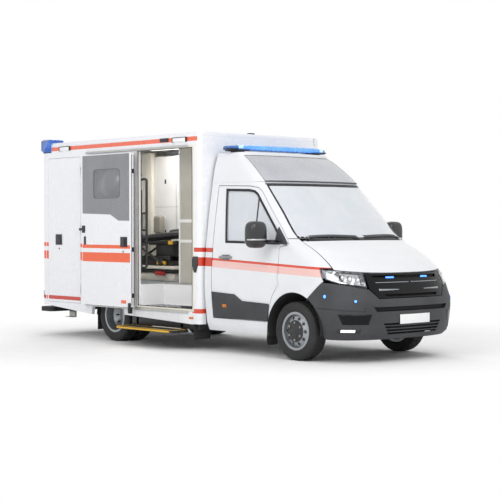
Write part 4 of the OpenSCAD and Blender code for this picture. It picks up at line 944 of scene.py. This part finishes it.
for side in (1, -1):
    y = side * (body_y + 0.001)
    profiles.append(((-2.78, y - 0.004, 2.738), (0.5, y + 0.004, 2.75), 0.002))
    y = side * (body_y + 0.0005)
    profiles.append(((body_rear + 0.055, y - 0.003, 0.47), (body_rear + 0.066, y + 0.003, 2.66), 0.001))
    y = side * 0.955
    profiles.append(((body_front - 0.003, y - 0.005, 0.75), (body_front + 0.0025, y + 0.005, 2.73), 0.001))
boxes("corner_profiles", profiles, plain_gel)

# Frame of the side doorway: a cream-faced profile screwed round the opening, with a rubber seal pushed onto
# it, a bright tread edge along the sill and a small black lamp case.
# Cream laminate: warm off-white, smooth with a low sheen.
cream = surface("cream_laminate", "#E2DDCF", "#EBE6DA", 25, 0.05, (0.4, 0.5))
# Anodised alloy: pale silver metal with a fine satin grain.
alloy = surface("satin_anodised_alloy", "#B4B6B4", "#C6C7C4", 3, 0.1, (0.3, 0.42), Metallic=0.85)
doorway = [(-710, 532), (440, 532), (440, 2598), (-710, 2598)]


def wall_band(name, outline, inner, outer, y, material, depth, step):
    """A band round an opening of the right side; the outline's values are x and z in millimetres."""
    bm = bmesh.new()
    border(bm, outline, inner, outer, lambda x, z: Vector((x / 1000, y, z / 1000)), (0, -1, 0), step)
    thicken(piece(name, bm, material, "vehicle"), depth)


wall_band("doorway_profile", doorway, 0, 34, wall_y - 0.0015, cream, 0.004, 400)
wall_band("doorway_seal", doorway, -6, 2, wall_y - 0.003, cut_rubber, 0.01, 400)
boxes("doorway_tread_edge", [((-0.7, -1.068, 0.528), (0.43, -1.02, 0.5335), 0.001)], alloy)
boxes("doorway_sill_lamp", [((0.2, -1.064, 0.533), (0.4, -1.036, 0.566), 0.004)], hub_plastic)

# Fittings of the body's outside: work lamps and a camera case screwed under each roof edge, a grey moulded
# shield over the door catch on the right front post, an amber lamp low down, and a lamp and a hook in front.
# Lamp lens: pale cool white, finely ribbed, with a bright gloss.
lamp_lens = surface("clear_lamp_lens", "#E8EBEE", "#F6F8FA", 6, 0.5, (0.1, 0.2))
lamps, cases = [], []
for side in (1, -1):
    y0, y1 = sorted((side * (body_y - 0.002), side * (body_y + 0.022)))
    for x0, x1 in ((-2.566, -2.304), (0.049, 0.335)):
        lamps.append(((x0 + 0.012, y0, 2.676), (x1 - 0.012, y1, 2.73), 0.008))
        for x in (x0, x1 - 0.014):
            cases.append(((x, y0 - 0.001, 2.672), (x + 0.014, y1 + 0.001, 2.733), 0.004))
        cases.append(((x0, y0, 2.728), (x1, y1 + 0.001, 2.7345), 0.002))
    cases.append(((-0.213, side * (body_y - 0.002), 2.69), (-0.043, side * (body_y + 0.02), 2.738), 0.009))
boxes("work_lamps", lamps, lamp_lens)
boxes("work_lamp_cases", cases, hub_plastic)


def shield(u, v):
    """Point of the shield: it bulges outwards and narrows towards its foot."""
    taper_end = 0.42
    half = 0.052 if v > taper_end else 0.022 + 0.03 * v / taper_end
    bulge = 0.022 * (1 - (2 * u - 1) ** 4) * (1 - (2 * v - 1) ** 6)
    return Vector((0.498 + half * (2 * u - 1), wall_y - 0.001 - bulge, 1.0 + 0.206 * v))


bm = bmesh.new()
sheet(bm, 12, 16, shield, (0, -1, 0))
thicken(piece("door_catch_shield", bm, grained_plastic, "vehicle"), 0.003)
boxes("amber_side_lamp", [((0.38, wall_y - 0.012, 0.404), (0.46, wall_y + 0.004, 0.43), 0.005)], amber)
boxes("front_wall_lamp", [((0.5, -0.19, 2.794), (0.57, -0.11, 2.813), 0.006)], hub_plastic)
boxes("front_wall_hook", [((0.583, 0.955, 2.7), (0.591, 0.963, 2.79), 0.003),
    ((0.583, 0.955, 2.695), (0.62, 0.963, 2.703), 0.003)], alloy)

# Sliding side door: a sandwich leaf on three runner arms, slid back along the wall. Grey film covers its
# upper half and the pane, and the handles are black plastic on dark plates.
leaf_y = -1.167
slider_red = "#F0602C"
slider_gel = gel_coat("gel_coat_sliding_door")
bands(slider_gel, [(0.0, 1.3125, 0.0245, slider_red, -1.868, -0.756),
    (0.0, 1.167, 0.064, slider_red, -1.868, -0.756)], film_y)
# Window film: even mid grey with a soft gloss.
grey_film = surface("grey_window_film", "#7F8184", "#888A8D", 200, 0.04, (0.22, 0.28), Coat_Weight=0.3)
# Smoked pane: a shade darker than the film around it, and flatter.
smoked = surface("smoked_pane", "#7B7D80", "#7F8184", 200, 0.0, (0.2, 0.26), Coat_Weight=0.1)
# Reflector: bright orange red with small prisms under a glossy face.
reflector = surface("orange_reflector", "#E8542C", "#F2683C", 4, 0.6, (0.12, 0.2), Coat_Weight=0.5)
dress("side_door", slider_gel, 0.004)
dress("side_door_glass", grey_film, 0.0008)
window = [(-1602, 2026), (-1587, 1991), (-1552, 1976), (-1036, 1976), (-1001, 1991), (-986, 2026),
    (-986, 2322), (-1001, 2357), (-1036, 2372), (-1552, 2372), (-1587, 2357), (-1602, 2322)]
wall_band("sliding_window_line", window, -3, 2, leaf_y - 0.0008, cut_rubber, 0.001, 200)
bm = bmesh.new()
sheet(bm, 2, 2, lambda u, v: Vector((-1.592 + 0.596 * u, leaf_y - 0.0004, 1.986 + 0.376 * v)), (0, -1, 0))
thicken(piece("sliding_window_pane", bm, smoked, "vehicle"), 0.0006)


def lock(bm, at):
    """A round lock face that looks to the right."""
    lathe(bm, [(0.0001, 0.004), (0.011, 0.004), (0.013, 0.0)],
        Matrix.Translation(at) @ Matrix.Rotation(math.pi / 2, 4, "X"), 24)


bm = bmesh.new()
block(bm, (-0.973, leaf_y - 0.007, 1.31), (-0.818, leaf_y + 0.002, 1.447), 0.006)
block(bm, (-1.822, leaf_y - 0.012, 1.335), (-1.782, leaf_y + 0.002, 1.45), 0.006)
block(bm, (-1.875, leaf_y - 0.01, 1.5), (-1.8, leaf_y + 0.002, 1.6), 0.008)
block(bm, (-1.955, leaf_y - 0.004, 1.53), (-1.86, leaf_y + 0.008, 1.565), 0.006)
lock(bm, (-0.91, leaf_y, 1.248))
piece("sliding_door_plates", bm, hub_plastic, "vehicle")
boxes("sliding_door_handle", [((-0.905, leaf_y - 0.026, 1.325), (-0.862, leaf_y - 0.004, 1.432), 0.009),
    ((-1.85, leaf_y - 0.017, 1.53), (-1.822, leaf_y - 0.008, 1.57), 0.004)], grained_plastic)
rubbers = [((-0.733, leaf_y + 0.012, z - 0.03), (-0.716, leaf_y + 0.04, z + 0.03), 0.005)
    for z in (0.66, 1.28, 2.33)]
rubbers.append(((-0.8, leaf_y - 0.012, 0.42), (-0.738, leaf_y + 0.03, 0.56), 0.01))
rubbers.append(((-1.868, leaf_y + 0.02, 0.494), (-0.742, leaf_y + 0.034, 0.502), 0.002))
for inset in (0.004, 0.041):
    rubbers.append(((-0.732, leaf_y + inset, 0.53), (-0.726, leaf_y + inset + 0.008, 2.55), 0.002))
boxes("sliding_door_rubbers", rubbers, cut_rubber)
edges = [((-0.735, leaf_y + 0.013, 0.54), (-0.7255, leaf_y + 0.04, 2.54), 0.002)]
for z in (0.98, 1.9):
    edges.append(((-0.74, leaf_y + 0.016, z - 0.06), (-0.722, leaf_y + 0.036, z + 0.06), 0.003))
boxes("sliding_door_edge", edges, plain_gel)
boxes("sliding_door_reflector", [((-0.955, leaf_y - 0.006, 0.55), (-0.845, leaf_y + 0.002, 0.594), 0.003)],
    reflector)
runners = [((-1.9, wall_y - 0.022, z - 0.014), (end, wall_y - 0.001, z + 0.014), 0.004)
    for z, end in ((2.62, 0.36), (1.42, -0.76), (0.486, 0.36))]
boxes("sliding_door_runners", runners, alloy)

# Outside locker door: a gel-coated sandwich leaf hinged at its front edge, with a flush paddle latch on a
# black plate and a lock below it.
locker_gel = gel_coat("gel_coat_locker_door")
bands(locker_gel, [(0.0, foot_z, 0.027, foot_red, -2.9, -2.06)], film_y)
dress("locker_door", locker_gel, 0.003)
boxes("locker_latch_plate", [((-2.677, wall_y - 0.0105, 1.324), (-2.514, wall_y - 0.005, 1.475), 0.004)],
    hub_plastic, "locker_door")
bm = bmesh.new()
block(bm, (-2.655, wall_y - 0.02, 1.345), (-2.536, wall_y - 0.008, 1.43), 0.006)
lock(bm, (-2.595, wall_y, 1.27))
piece("locker_latch_paddle", bm, grained_plastic, "locker_door")

# Rear doors: two hinged sandwich leaves with bonded panes, rubber window seals and rod handles. The tail
# lamps and a blank plate are screwed to the rear frame beside and below them.
# Red lamp cover: deep red, ribbed inside, with a glossy face.
tail_red = surface("red_lamp_cover", "#B01414", "#CC2018", 8, 0.8, (0.1, 0.2), Coat_Weight=0.5)
rear_gel = gel_coat("gel_coat_rear_doors")
for name, side in sides.items():
    body = "rear_door_" + name
    dress(body, rear_gel, 0.003)
    dress("rear_glass_" + name, glass, 0.0)
    pane = [(side * y, z) for y, z in ((190, 1660), (210, 1640), (800, 1640), (820, 1660), (820, 2380),
        (800, 2400), (210, 2400), (190, 2380))][::side]
    bm = bmesh.new()
    border(bm, pane, -22, 14, lambda y, z: Vector((body_rear - 0.0015, y / 1000, z / 1000)), (-1, 0, 0), 200)
    thicken(piece("rear_window_seal_" + name, bm, cut_rubber, body), 0.004)
    handle_rows = [((body_rear - 0.03, side * 0.05, 1.2), (body_rear - 0.018, side * 0.11, 1.42), 0.005)]
    for z in (1.21, 1.4):
        handle_rows.append(((body_rear - 0.024, side * 0.06, z),
            (body_rear + 0.002, side * 0.1, z + 0.014), 0.003))
    for z in (0.8, 2.56):
        handle_rows.append(((body_rear - 0.012, side * 0.05, z - 0.02),
            (body_rear + 0.002, side * 0.11, z + 0.02), 0.004))
    boxes("rear_handle_" + name, handle_rows, hub_plastic, body)
red, clear, backs = [], [], []
tail_z, tail_half = 0.6, 0.036
for side in (1, -1):
    for rows, y in ((red, side * 0.955), (clear, side * 0.86), (red, side * 1.03)):
        rows.append(((body_rear - 0.02, y - tail_half, tail_z - tail_half),
            (body_rear + 0.002, y + tail_half, tail_z + tail_half), 0.01))
    y = side * 0.945
    backs.append(((body_rear - 0.008, y - 0.13, 0.55), (body_rear + 0.002, y + 0.124, 0.65), 0.006))
red.append(((body_rear - 0.014, -0.15, 2.68), (body_rear + 0.002, 0.15, 2.71), 0.006))
boxes("tail_lamps_red", red, tail_red)
boxes("tail_lamps_clear", clear, amber)
boxes("tail_lamp_backs", backs, hub_plastic)
boxes("rear_plate", [((body_rear - 0.006, -0.26, 0.535), (body_rear + 0.001, 0.26, 0.645), 0.002)],
    plate_white)

# Compartment floor: speckled sheet flooring glued down and turned up at the edges. The step well is white
# below it, with ribbed treads and an alloy edge.
# Sheet floor: mid grey speckle, dull, and plain white where it lies below the floor's level.
sheet_floor = surface("speckled_sheet_floor", "#6F7478", "#83888B", 4, 0.3, (0.5, 0.65))
well_top_z = 0.812
tree = sheet_floor.node_tree
height = add(tree, "SeparateXYZ", {0: add(tree, "TexCoord").outputs["Object"]}).outputs[2]
sunk = add(tree, "Math", {0: height, 1: well_top_z}, operation="LESS_THAN").outputs[0]
base = tree.nodes["Principled BSDF"].inputs["Base Color"]
speckle = base.links[0].from_socket
tone = add(tree, "Mix", {0: sunk, 6: speckle, 7: colour("#F2F2F3")}, data_type="RGBA").outputs[2]
tree.links.new(tone, base)
dress("box_floor", sheet_floor, 0.003)
treads = [((-0.66 + 0.12 * k, -0.99, 0.529), (-0.6 + 0.12 * k, -0.68, 0.5325), 0.001) for k in range(9)]
boxes("step_well_treads", treads, grained_plastic)
boxes("step_well_edge", [((-0.71, -0.648, 0.806), (0.44, -0.634, 0.826), 0.003)], alloy)

# Cupboards: laminated board on alloy edging. The tall ones on the left are white, the front one is warm grey
# with white rails, and each leaf has a push lock. Cream boards line the doorway and the corner lamps.
# White laminate: clean warm white with a low sheen.
white_board = surface("white_laminate", "#ECEBE8", "#F3F2F0", 25, 0.05, (0.35, 0.45))
# Warm grey laminate: stone grey, smooth and dull.
grey_board = surface("warm_grey_laminate", "#B3AFA4", "#C0BCB1", 25, 0.05, (0.4, 0.5))
dress("left_cabinet", white_board, 0.004)
dress("front_cupboard", grey_board, 0.004)
dress("locker_liner", cream, 0.003)
gaps = [((x - 0.003, 0.5575, 0.86), (x + 0.003, 0.562, 2.62), 0.0) for x in (-1.92, -1.38, -0.84)]
gaps += [((-2.44, 0.5575, z - 0.003), (-0.31, 0.562, z + 0.003), 0.0) for z in (1.06, 1.88)]
gaps.append(((0.05, -0.6225, 0.86), (0.056, -0.618, 2.62), 0.0))
boxes("cupboard_gaps", gaps, alloy)
boxes("cupboard_end_panel", [((-2.7, 0.5, 0.83), (-2.452, 0.575, 2.7), 0.008)], cream)
locks = [((x - 0.014, 0.551, z - 0.032), (x + 0.014, 0.562, z + 0.032), 0.004)
    for x in (-2.18, -1.65, -1.11, -0.57) for z in (0.97, 1.5, 2.26)]
locks += [((x - 0.014, -0.629, 1.98), (x + 0.014, -0.618, 2.04), 0.004) for x in (-0.09, 0.2)]
boxes("cupboard_locks", locks, hub_plastic)
rails = [((-0.382, -0.632, z - 0.022), (0.535, -0.616, z + 0.022), 0.004) for z in (1.66, 1.39)]
rails.append(((-0.384, -0.63, 0.82), (-0.356, -0.615, 2.64), 0.004))
boxes("cupboard_rails", rails, white_board)
linings = [((-0.83, -1.018, 0.83), (-0.775, -0.985, 2.73), 0.01),
    ((-0.71, -1.016, 2.6), (0.44, -0.98, 2.735), 0.01)]
for side in (1, -1):
    linings.append(((-2.788, side * 0.852, 2.652), (-2.782, side * 1.025, 2.744), 0.002))
    linings.append(((-2.914, side * 0.852, 2.652), (-2.782, side * 0.858, 2.744), 0.002))
    linings.append(((-2.914, side * 0.852, 2.65), (-2.782, side * 1.025, 2.656), 0.002))
boxes("doorway_and_lamp_linings", linings, cream)

# Ceiling lamp: one long frosted plastic panel with rounded edges, lit from inside.
# It is screwed to the ceiling beside the cupboards.
# Lit frosted panel: warm white that glows evenly.
frosted = surface("lit_frosted_panel", "#F4F4F0", "#FBFBF8", 8, 0.1, (0.4, 0.5),
    Emission_Color=colour("#FFF9EF"), Emission_Strength=2.0)
boxes("ceiling_lamp", [((-2.3, 0.12, 2.722), (-0.5, 0.42, 2.744), 0.006)], frosted)

# Stretcher: a foam mattress in a welded black cover on a black-coated frame of bent tube, with a folding
# undercarriage, side rails and yellow catches. It stands on a cream loading table.
# Coated cover: black with a leathery grain and a dull shine.
vinyl = surface("black_coated_cover", "#222326", "#2F3033", 4, 0.35, (0.42, 0.56))
# Powder coat: strong yellow with a fine orange-peel skin.
yellow = surface("yellow_powder_coat", "#D9A514", "#E8B826", 6, 0.15, (0.35, 0.45))


def tube(bm, points, radius, steps=10):
    """A round tube through points, drawn by pushing one ring along them."""
    points = [Vector(p) for p in points]
    heading = (points[1] - points[0]).normalized()
    place = Matrix.Translation(points[0]) @ heading.to_track_quat("Z", "Y").to_matrix().to_4x4()
    ring = bmesh.ops.create_circle(bm, cap_ends=True, segments=steps, radius=radius, matrix=place)
    edges = list(dict.fromkeys(e for v in ring["verts"] for e in v.link_edges))
    for i in range(1, len(points)):
        ahead = (points[min(i + 1, len(points) - 1)] - points[i - 1]).normalized()
        turn = heading.rotation_difference(ahead).to_matrix().to_4x4()
        move = Matrix.Translation(points[i]) @ turn @ Matrix.Translation(-points[i - 1])
        grown = bmesh.ops.extrude_edge_only(bm, edges=edges)["geom"]
        edges = [g for g in grown if isinstance(g, bmesh.types.BMEdge)]
        bmesh.ops.transform(bm, matrix=move, verts=[g for g in grown if isinstance(g, bmesh.types.BMVert)])
        heading = ahead
    bmesh.ops.holes_fill(bm, edges=edges)
    bmesh.ops.recalc_face_normals(bm, faces=bm.faces)


def bend(*corners, radius=0.05, steps=4):
    """Points of a bent line: each inner corner is rounded."""
    corners = [Vector(c) for c in corners]
    points = [corners[0]]
    for a, b, c in zip(corners, corners[1:], corners[2:]):
        reach = min(radius, (a - b).length * 0.45, (c - b).length * 0.45)
        first, last = b + (a - b).normalized() * reach, b + (c - b).normalized() * reach
        for k in range(steps + 1):
            t = k / steps
            points.append(first * (1 - t) ** 2 + b * 2 * t * (1 - t) + last * t * t)
    return points + [corners[-1]]


bm = bmesh.new()
for x0, x1 in ((-2.775, -2.15), (-2.145, -1.6)):
    cushion(bm, (x0, -0.28, 1.385), (x1, 0.28, 1.468), seams=1, power=6.0)
cushion(bm, (-1.62, -0.28, 1.395), (-0.89, 0.28, 1.475), -math.radians(4), (-1.6, 0, 1.43),
    seams=2, power=6.0)
cushion(bm, (-1.2, -0.2, 1.47), (-0.92, 0.2, 1.55), -math.radians(5), (-1.1, 0, 1.5), power=3.6)
mattress = piece("stretcher_mattress", bm, vinyl, "vehicle", 75)
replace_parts(mattress, "stretcher")
deck_z, foot_bar_z = 1.36, 1.06
bm = bmesh.new()
for side in (1, -1):
    tube(bm, [(-2.78, side * 0.25, deck_z), (-0.9, side * 0.25, deck_z)], 0.018)
    y = side * 0.27
    tube(bm, bend((-2.5, y, foot_bar_z), (-1.9, y, 1.33), (-1.6, y, 1.33)), 0.016)
    tube(bm, bend((-1.2, y, foot_bar_z), (-1.8, y, 1.33), (-2.2, y, 1.33)), 0.016)
    y = side * 0.275
    tube(bm, bend((-2.3, y, 1.34), (-2.28, y, 1.44), (-1.72, y, 1.44), (-1.7, y, 1.34)), 0.011)
for x in (-2.75, -2.2, -1.55, -0.95):
    tube(bm, [(x, -0.25, deck_z), (x, 0.25, deck_z)], 0.014)
for x in (-2.5, -1.2):
    tube(bm, [(x, -0.27, foot_bar_z), (x, 0.27, foot_bar_z)], 0.016)
block(bm, (-2.62, -0.2, 1.032), (-1.06, 0.2, 1.1), 0.012)
block(bm, (-1.46, -0.19, 1.16), (-1.08, 0.19, 1.35), 0.02)
for y in (0.2, -0.2):
    block(bm, (-1.95, y - 0.014, 1.09), (-1.1, y + 0.014, 1.17), 0.01)
piece("stretcher_frame", bm, hub_plastic, "vehicle")
catches = []
for side in (1, -1):
    y = side * 0.262
    catches += [((x - 0.05, y - 0.014, 1.335), (x + 0.05, y + 0.014, 1.385), 0.006)
        for x in (-2.62, -1.75, -1.02)]
    y = side * 0.25
    catches += [((x - 0.09, y - 0.02, 1.05), (x + 0.09, y + 0.02, 1.1), 0.008) for x in (-2.45, -1.25)]
boxes("stretcher_catches", catches, yellow)
boxes("loading_table", [((-2.8, -0.29, 0.985), (-0.9, 0.29, 1.03), 0.012),
    ((-2.74, -0.25, 0.82), (-0.96, 0.25, 0.93), 0.012)], cream)
castor = [(0.02, -0.02), (0.05, -0.02), (0.055, -0.012), (0.055, 0.012), (0.05, 0.02), (0.02, 0.02)]
bm = bmesh.new()
block(bm, (-2.78, -0.27, 0.93), (-0.92, 0.27, 0.985), 0.004)
for x in (-2.5, -1.25):
    for y in (0.255, -0.255):
        lathe(bm, castor, Matrix.Translation((x, y, 1.085)) @ Matrix.Rotation(math.pi / 2, 4, "X"), 20)
piece("stretcher_wheels_and_tray", bm, hub_plastic, "vehicle")
boxes("loading_table_label", [((-1.35, -0.296, 0.9), (-1.12, -0.288, 0.955), 0.003)], tail_red)

# Attendant's headrest: a firm foam pad in warm grey vinyl.
# A zinc-plated stem with a short arm carries it on the left cupboards, behind the stretcher.
# Vinyl: warm stone grey with a fine grain and a low sheen.
warm_vinyl = surface("warm_grey_vinyl", "#8C887C", "#9C988C", 4, 0.3, (0.45, 0.58))
stem_x, stem_y = -2.155, 0.42
bm = bmesh.new()
cushion(bm, (-2.24, 0.37, 1.49), (-2.08, 0.47, 1.74), power=9.0)
piece("attendant_headrest", bm, warm_vinyl, "vehicle", 75)
bm = bmesh.new()
tube(bm, [(stem_x, stem_y, 1.3), (stem_x, stem_y, 1.56)], 0.014)
tube(bm, [(stem_x, stem_y, 1.32), (stem_x, 0.57, 1.32)], 0.016)
piece("attendant_headrest_stem", bm, zinc, "vehicle")

# Grab rails: black plastic-coated tube on short posts, by the doorway, along the ceiling and on the panel at
# the end of the cupboards.
dress("grab_rails", hub_plastic, 0.0)
bm = bmesh.new()
tube(bm, bend((-0.9, -0.99, 2.4), (-0.88, -0.9, 2.25), (-0.87, -0.9, 1.95), (-0.9, -0.99, 1.82)), 0.014)
tube(bm, bend((-2.6, 0.51, 1.79), (-2.6, 0.43, 1.79), (-2.6, 0.43, 1.53), (-2.6, 0.51, 1.53)), 0.013)
tube(bm, bend((-0.79, -1.026, 2.2), (-0.7, -0.93, 2.24), (-0.7, -0.93, 1.02), (-0.79, -1.026, 1.06)), 0.017)
piece("hand_holds", bm, hub_plastic, "vehicle")

# Steps: rubber-faced planks on zinc-plated brackets, with yellow edges and ribbed treads. The side one runs
# out of a black cassette bolted under the floor.
# Step rubber: black and dull with a coarse grain.
ribbed = surface("ribbed_step_rubber", "#1A1B1C", "#262728", 3, 0.6, (0.6, 0.8))
dress("side_step", ribbed, 0.004)
dress("rear_step", ribbed, 0.008)
edges = [((-0.92, y - 0.012, 0.2545), (0.25, y + 0.012, 0.2588), 0.0015) for y in (-1.262, -1.03)]
edges += [((x - 0.012, -1.25, 0.2545), (x + 0.012, -1.04, 0.2588), 0.0015) for x in (-0.925, 0.255)]
edges.append(((-0.9, -1.2885, 0.228), (0.23, -1.284, 0.25), 0.001))
boxes("side_step_edges", edges, yellow)
rib_pitch = 0.026
ribs = [((-0.9, -1.241 + rib_pitch * k, 0.255), (0.23, -1.229 + rib_pitch * k, 0.2585), 0.001)
    for k in range(8)]
ribs += [((-3.235 + rib_pitch * k, -0.9, 0.401), (-3.223 + rib_pitch * k, 0.9, 0.405), 0.001)
    for k in range(9)]
boxes("step_ribs", ribs, cut_rubber)
boxes("side_step_cassette", [((-0.94, -1.0, 0.262), (0.5, -0.56, 0.402), 0.012)], hub_plastic)
brackets = []
for y in (0.6, -0.6):
    brackets.append(((-3.02, y - 0.012, 0.24), (-2.86, y + 0.012, 0.337), 0.004))
    brackets.append(((-3.1, y - 0.03, 0.236), (-2.9, y + 0.03, 0.244), 0.003))
boxes("rear_step_brackets", brackets, zinc)

# Rear corner lamps: faceted blue moulded covers over bright modules.
# They are let into the roof corners on black trays.
# Blue lamp cover: strong blue, half see-through, with sharp highlights.
corner_blue = surface("blue_lamp_cover", "#2A66CE", "#4A8AE6", 12, 0.5, (0.06, 0.14),
    Transmission_Weight=0.35, IOR=1.58)
dress("corner_lamps", corner_blue, 0.0)
boxes("corner_lamp_modules",
    [((-2.98, side * 0.96, 2.74), (-2.87, side * 1.06, 2.81), 0.01) for side in (1, -1)],
    blue_bright)
boxes("corner_lamp_trays",
    [((-2.998, side * 0.858, 2.657), (-2.79, side * 1.072, 2.667), 0.002) for side in (1, -1)],
    hub_plastic)

# Engine bay: a ribbed plastic cover on the engine, a battery and a milky bottle on the frame rails, and a
# radiator of thin metal fins between black tanks, joined to the engine by stiff moulded pipes.
# Milky polythene: cloudy white that lets some light in.
milky = surface("milky_polythene", "#D2D4CE", "#DEE0DA", 5, 0.2, (0.4, 0.5), Subsurface_Weight=0.2)
bottle_x, bottle_y, fin_pitch = 2.5, -0.4, 0.0218
bm = bmesh.new()
block(bm, (1.98, -0.21, 0.986), (2.6, 0.21, 1.016), 0.012)
for k in range(5):
    y = -0.15 + 0.075 * k
    block(bm, (2.02, y - 0.014, 1.01), (2.5, y + 0.014, 1.026), 0.005)
lathe(bm, [(0.0001, 0.03), (0.03, 0.03), (0.034, 0.026), (0.034, 0.0)],
    Matrix.Translation((2.56, 0.13, 1.014)), 24)
block(bm, (2.3, 0.32, 0.64), (2.64, 0.49, 0.7), 0.006)
block(bm, (2.31, 0.33, 0.7), (2.63, 0.48, 0.9), 0.008)
block(bm, (2.305, 0.325, 0.9), (2.635, 0.485, 0.925), 0.006)
for y in (-0.41, 0.37):
    block(bm, (2.8, y, 0.6), (2.86, y + 0.04, 0.97), 0.006)
tube(bm, bend((2.69, 0.12, 0.9), (2.76, 0.12, 0.93), (2.78, 0.3, 0.93), (2.81, 0.38, 0.92)), 0.022)
tube(bm, bend((2.69, -0.12, 0.72), (2.75, -0.14, 0.7), (2.78, -0.3, 0.68), (2.81, -0.38, 0.66)), 0.022)
tube(bm, bend((2.45, -0.36, 0.86), (2.42, -0.3, 0.9), (2.34, -0.24, 1.0), (2.3, -0.19, 1.0)), 0.011)
lathe(bm, [(0.0001, 0.034), (0.026, 0.034), (0.03, 0.03), (0.03, 0.0)],
    Matrix.Translation((bottle_x, bottle_y, 0.908)), 24)
piece("engine_cover_and_battery", bm, hub_plastic, "vehicle")
bm = bmesh.new()
block(bm, (2.34, -0.485, 0.66), (2.6, -0.33, 0.88), 0.03)
lathe(bm, [(0.0001, 0.914), (0.024, 0.914), (0.024, 0.87)], Matrix.Translation((bottle_x, bottle_y, 0)), 24)
piece("expansion_bottle", bm, milky, "vehicle")
fins = [((2.806, -0.37 + fin_pitch * k, 0.62), (2.854, -0.358 + fin_pitch * k, 0.95), 0.0) for k in range(34)]
boxes("radiator_fins", fins, zinc)
bm = bmesh.new()
for x in (2.36, 2.58):
    lathe(bm, [(0.0001, 0.018), (0.009, 0.018), (0.01, 0.0)], Matrix.Translation((x, 0.4, 0.924)), 16)
tube(bm, bend((2.66, -0.2, 0.985), (2.66, -0.2, 1.03), (2.62, -0.2, 1.03), (2.62, -0.2, 0.995),
    radius=0.02), 0.005)
piece("battery_posts_and_dipstick", bm, zinc, "vehicle")

# Studio: a pale floor that keeps the vehicle's shadow, white surroundings, broad lamps at the front, the
# right and the back, a small one under the ceiling, and the camera where the picture was taken from.
# Studio floor: plain white and dull, fading into the white around it.
floor_paint = surface("pale_studio_floor", "#FFFFFF", "#FCFCFC", 300, 0.0, (0.9, 0.95))
fade_start, fade_end = 2.9, 5.9
tree = floor_paint.node_tree
paper = add(tree, "Emission", {"Color": colour("#FFFFFF"), "Strength": 1.0}).outputs[0]
where = add(tree, "TexCoord").outputs["Object"]
reach = add(tree, "VectorMath", {0: where}, operation="LENGTH").outputs["Value"]
fade = add(tree, "MapRange", {0: reach, 1: fade_start, 2: fade_end}, interpolation_type="SMOOTHSTEP")
painted = tree.nodes["Principled BSDF"].outputs[0]
blend = add(tree, "MixShader", {0: fade.outputs[0], 1: painted, 2: paper}).outputs[0]
tree.links.new(blend, tree.nodes["Material Output"].inputs["Surface"])
bm = bmesh.new()
bmesh.ops.create_grid(bm, x_segments=2, y_segments=2, size=60)
floor_mesh = bpy.data.meshes.new("studio_floor")
bm.to_mesh(floor_mesh)
bm.free()
floor_mesh.materials.append(floor_paint)
studio_floor = bpy.data.objects.new("studio_floor", floor_mesh)
bpy.context.scene.collection.objects.link(studio_floor)

lit_strength, seen_strength = 0.62, 1.0
surroundings = bpy.data.worlds.new("studio")
surroundings.use_nodes = True
tree = surroundings.node_tree
light = tree.nodes["Background"]
light.inputs["Color"].default_value = colour("#FFFFFF")
path = add(tree, "LightPath").outputs
seen = add(tree, "Math", {0: path["Is Camera Ray"], 1: path["Is Transmission Ray"]}, operation="MAXIMUM")
shown = add(tree, "Math", {0: seen.outputs[0], 1: path["Is Glossy Ray"]}, operation="MAXIMUM").outputs[0]
level = add(tree, "MapRange", {0: shown, 1: 0.0, 2: 1.0, 3: lit_strength, 4: seen_strength}).outputs[0]
tree.links.new(level, light.inputs["Strength"])
bpy.context.scene.world = surroundings
bpy.context.scene.view_settings.view_transform = "Standard"

for name, at, aim, size, power in (("front_lamp", (9, -3, 8), (0.5, 0, 1.2), 6.0, 360),
        ("side_lamp", (4, -10.5, 7), (-0.5, 0, 1.2), 6.0, 330),
        ("rear_lamp", (-9, 6, 8), (0, 0, 1.0), 6.0, 340),
        ("ceiling_light", (-1.3, -0.1, 2.7), (-1.3, -0.1, 0.0), 1.4, 24)):
    lamp_data = bpy.data.lights.new(name, "AREA")
    lamp_data.size = size
    lamp_data.energy = power
    lamp_object = bpy.data.objects.new(name, lamp_data)
    lamp_object.location = at
    lamp_object.rotation_euler = (Vector(aim) - Vector(at)).to_track_quat("-Z", "Y").to_euler()
    bpy.context.scene.collection.objects.link(lamp_object)

eye = bpy.data.cameras.new("camera")
eye.lens = 95.594
eye.sensor_width = 36.0
eye.clip_end = 200.0
camera = bpy.data.objects.new("camera", eye)
eye_at = (13.5654, -11.8242, 1.5935)
turn_a, turn_e, roll = math.radians(48.1817), math.radians(1.037), math.radians(-0.041)
back = Vector((math.sin(turn_a) * math.cos(turn_e), -math.cos(turn_a) * math.cos(turn_e), math.sin(turn_e)))
camera.matrix_world = (Matrix.Translation(eye_at) @ back.to_track_quat("Z", "Y").to_matrix().to_4x4()
    @ Matrix.Rotation(roll, 4, "Z"))
bpy.context.scene.collection.objects.link(camera)
bpy.context.scene.camera = camera
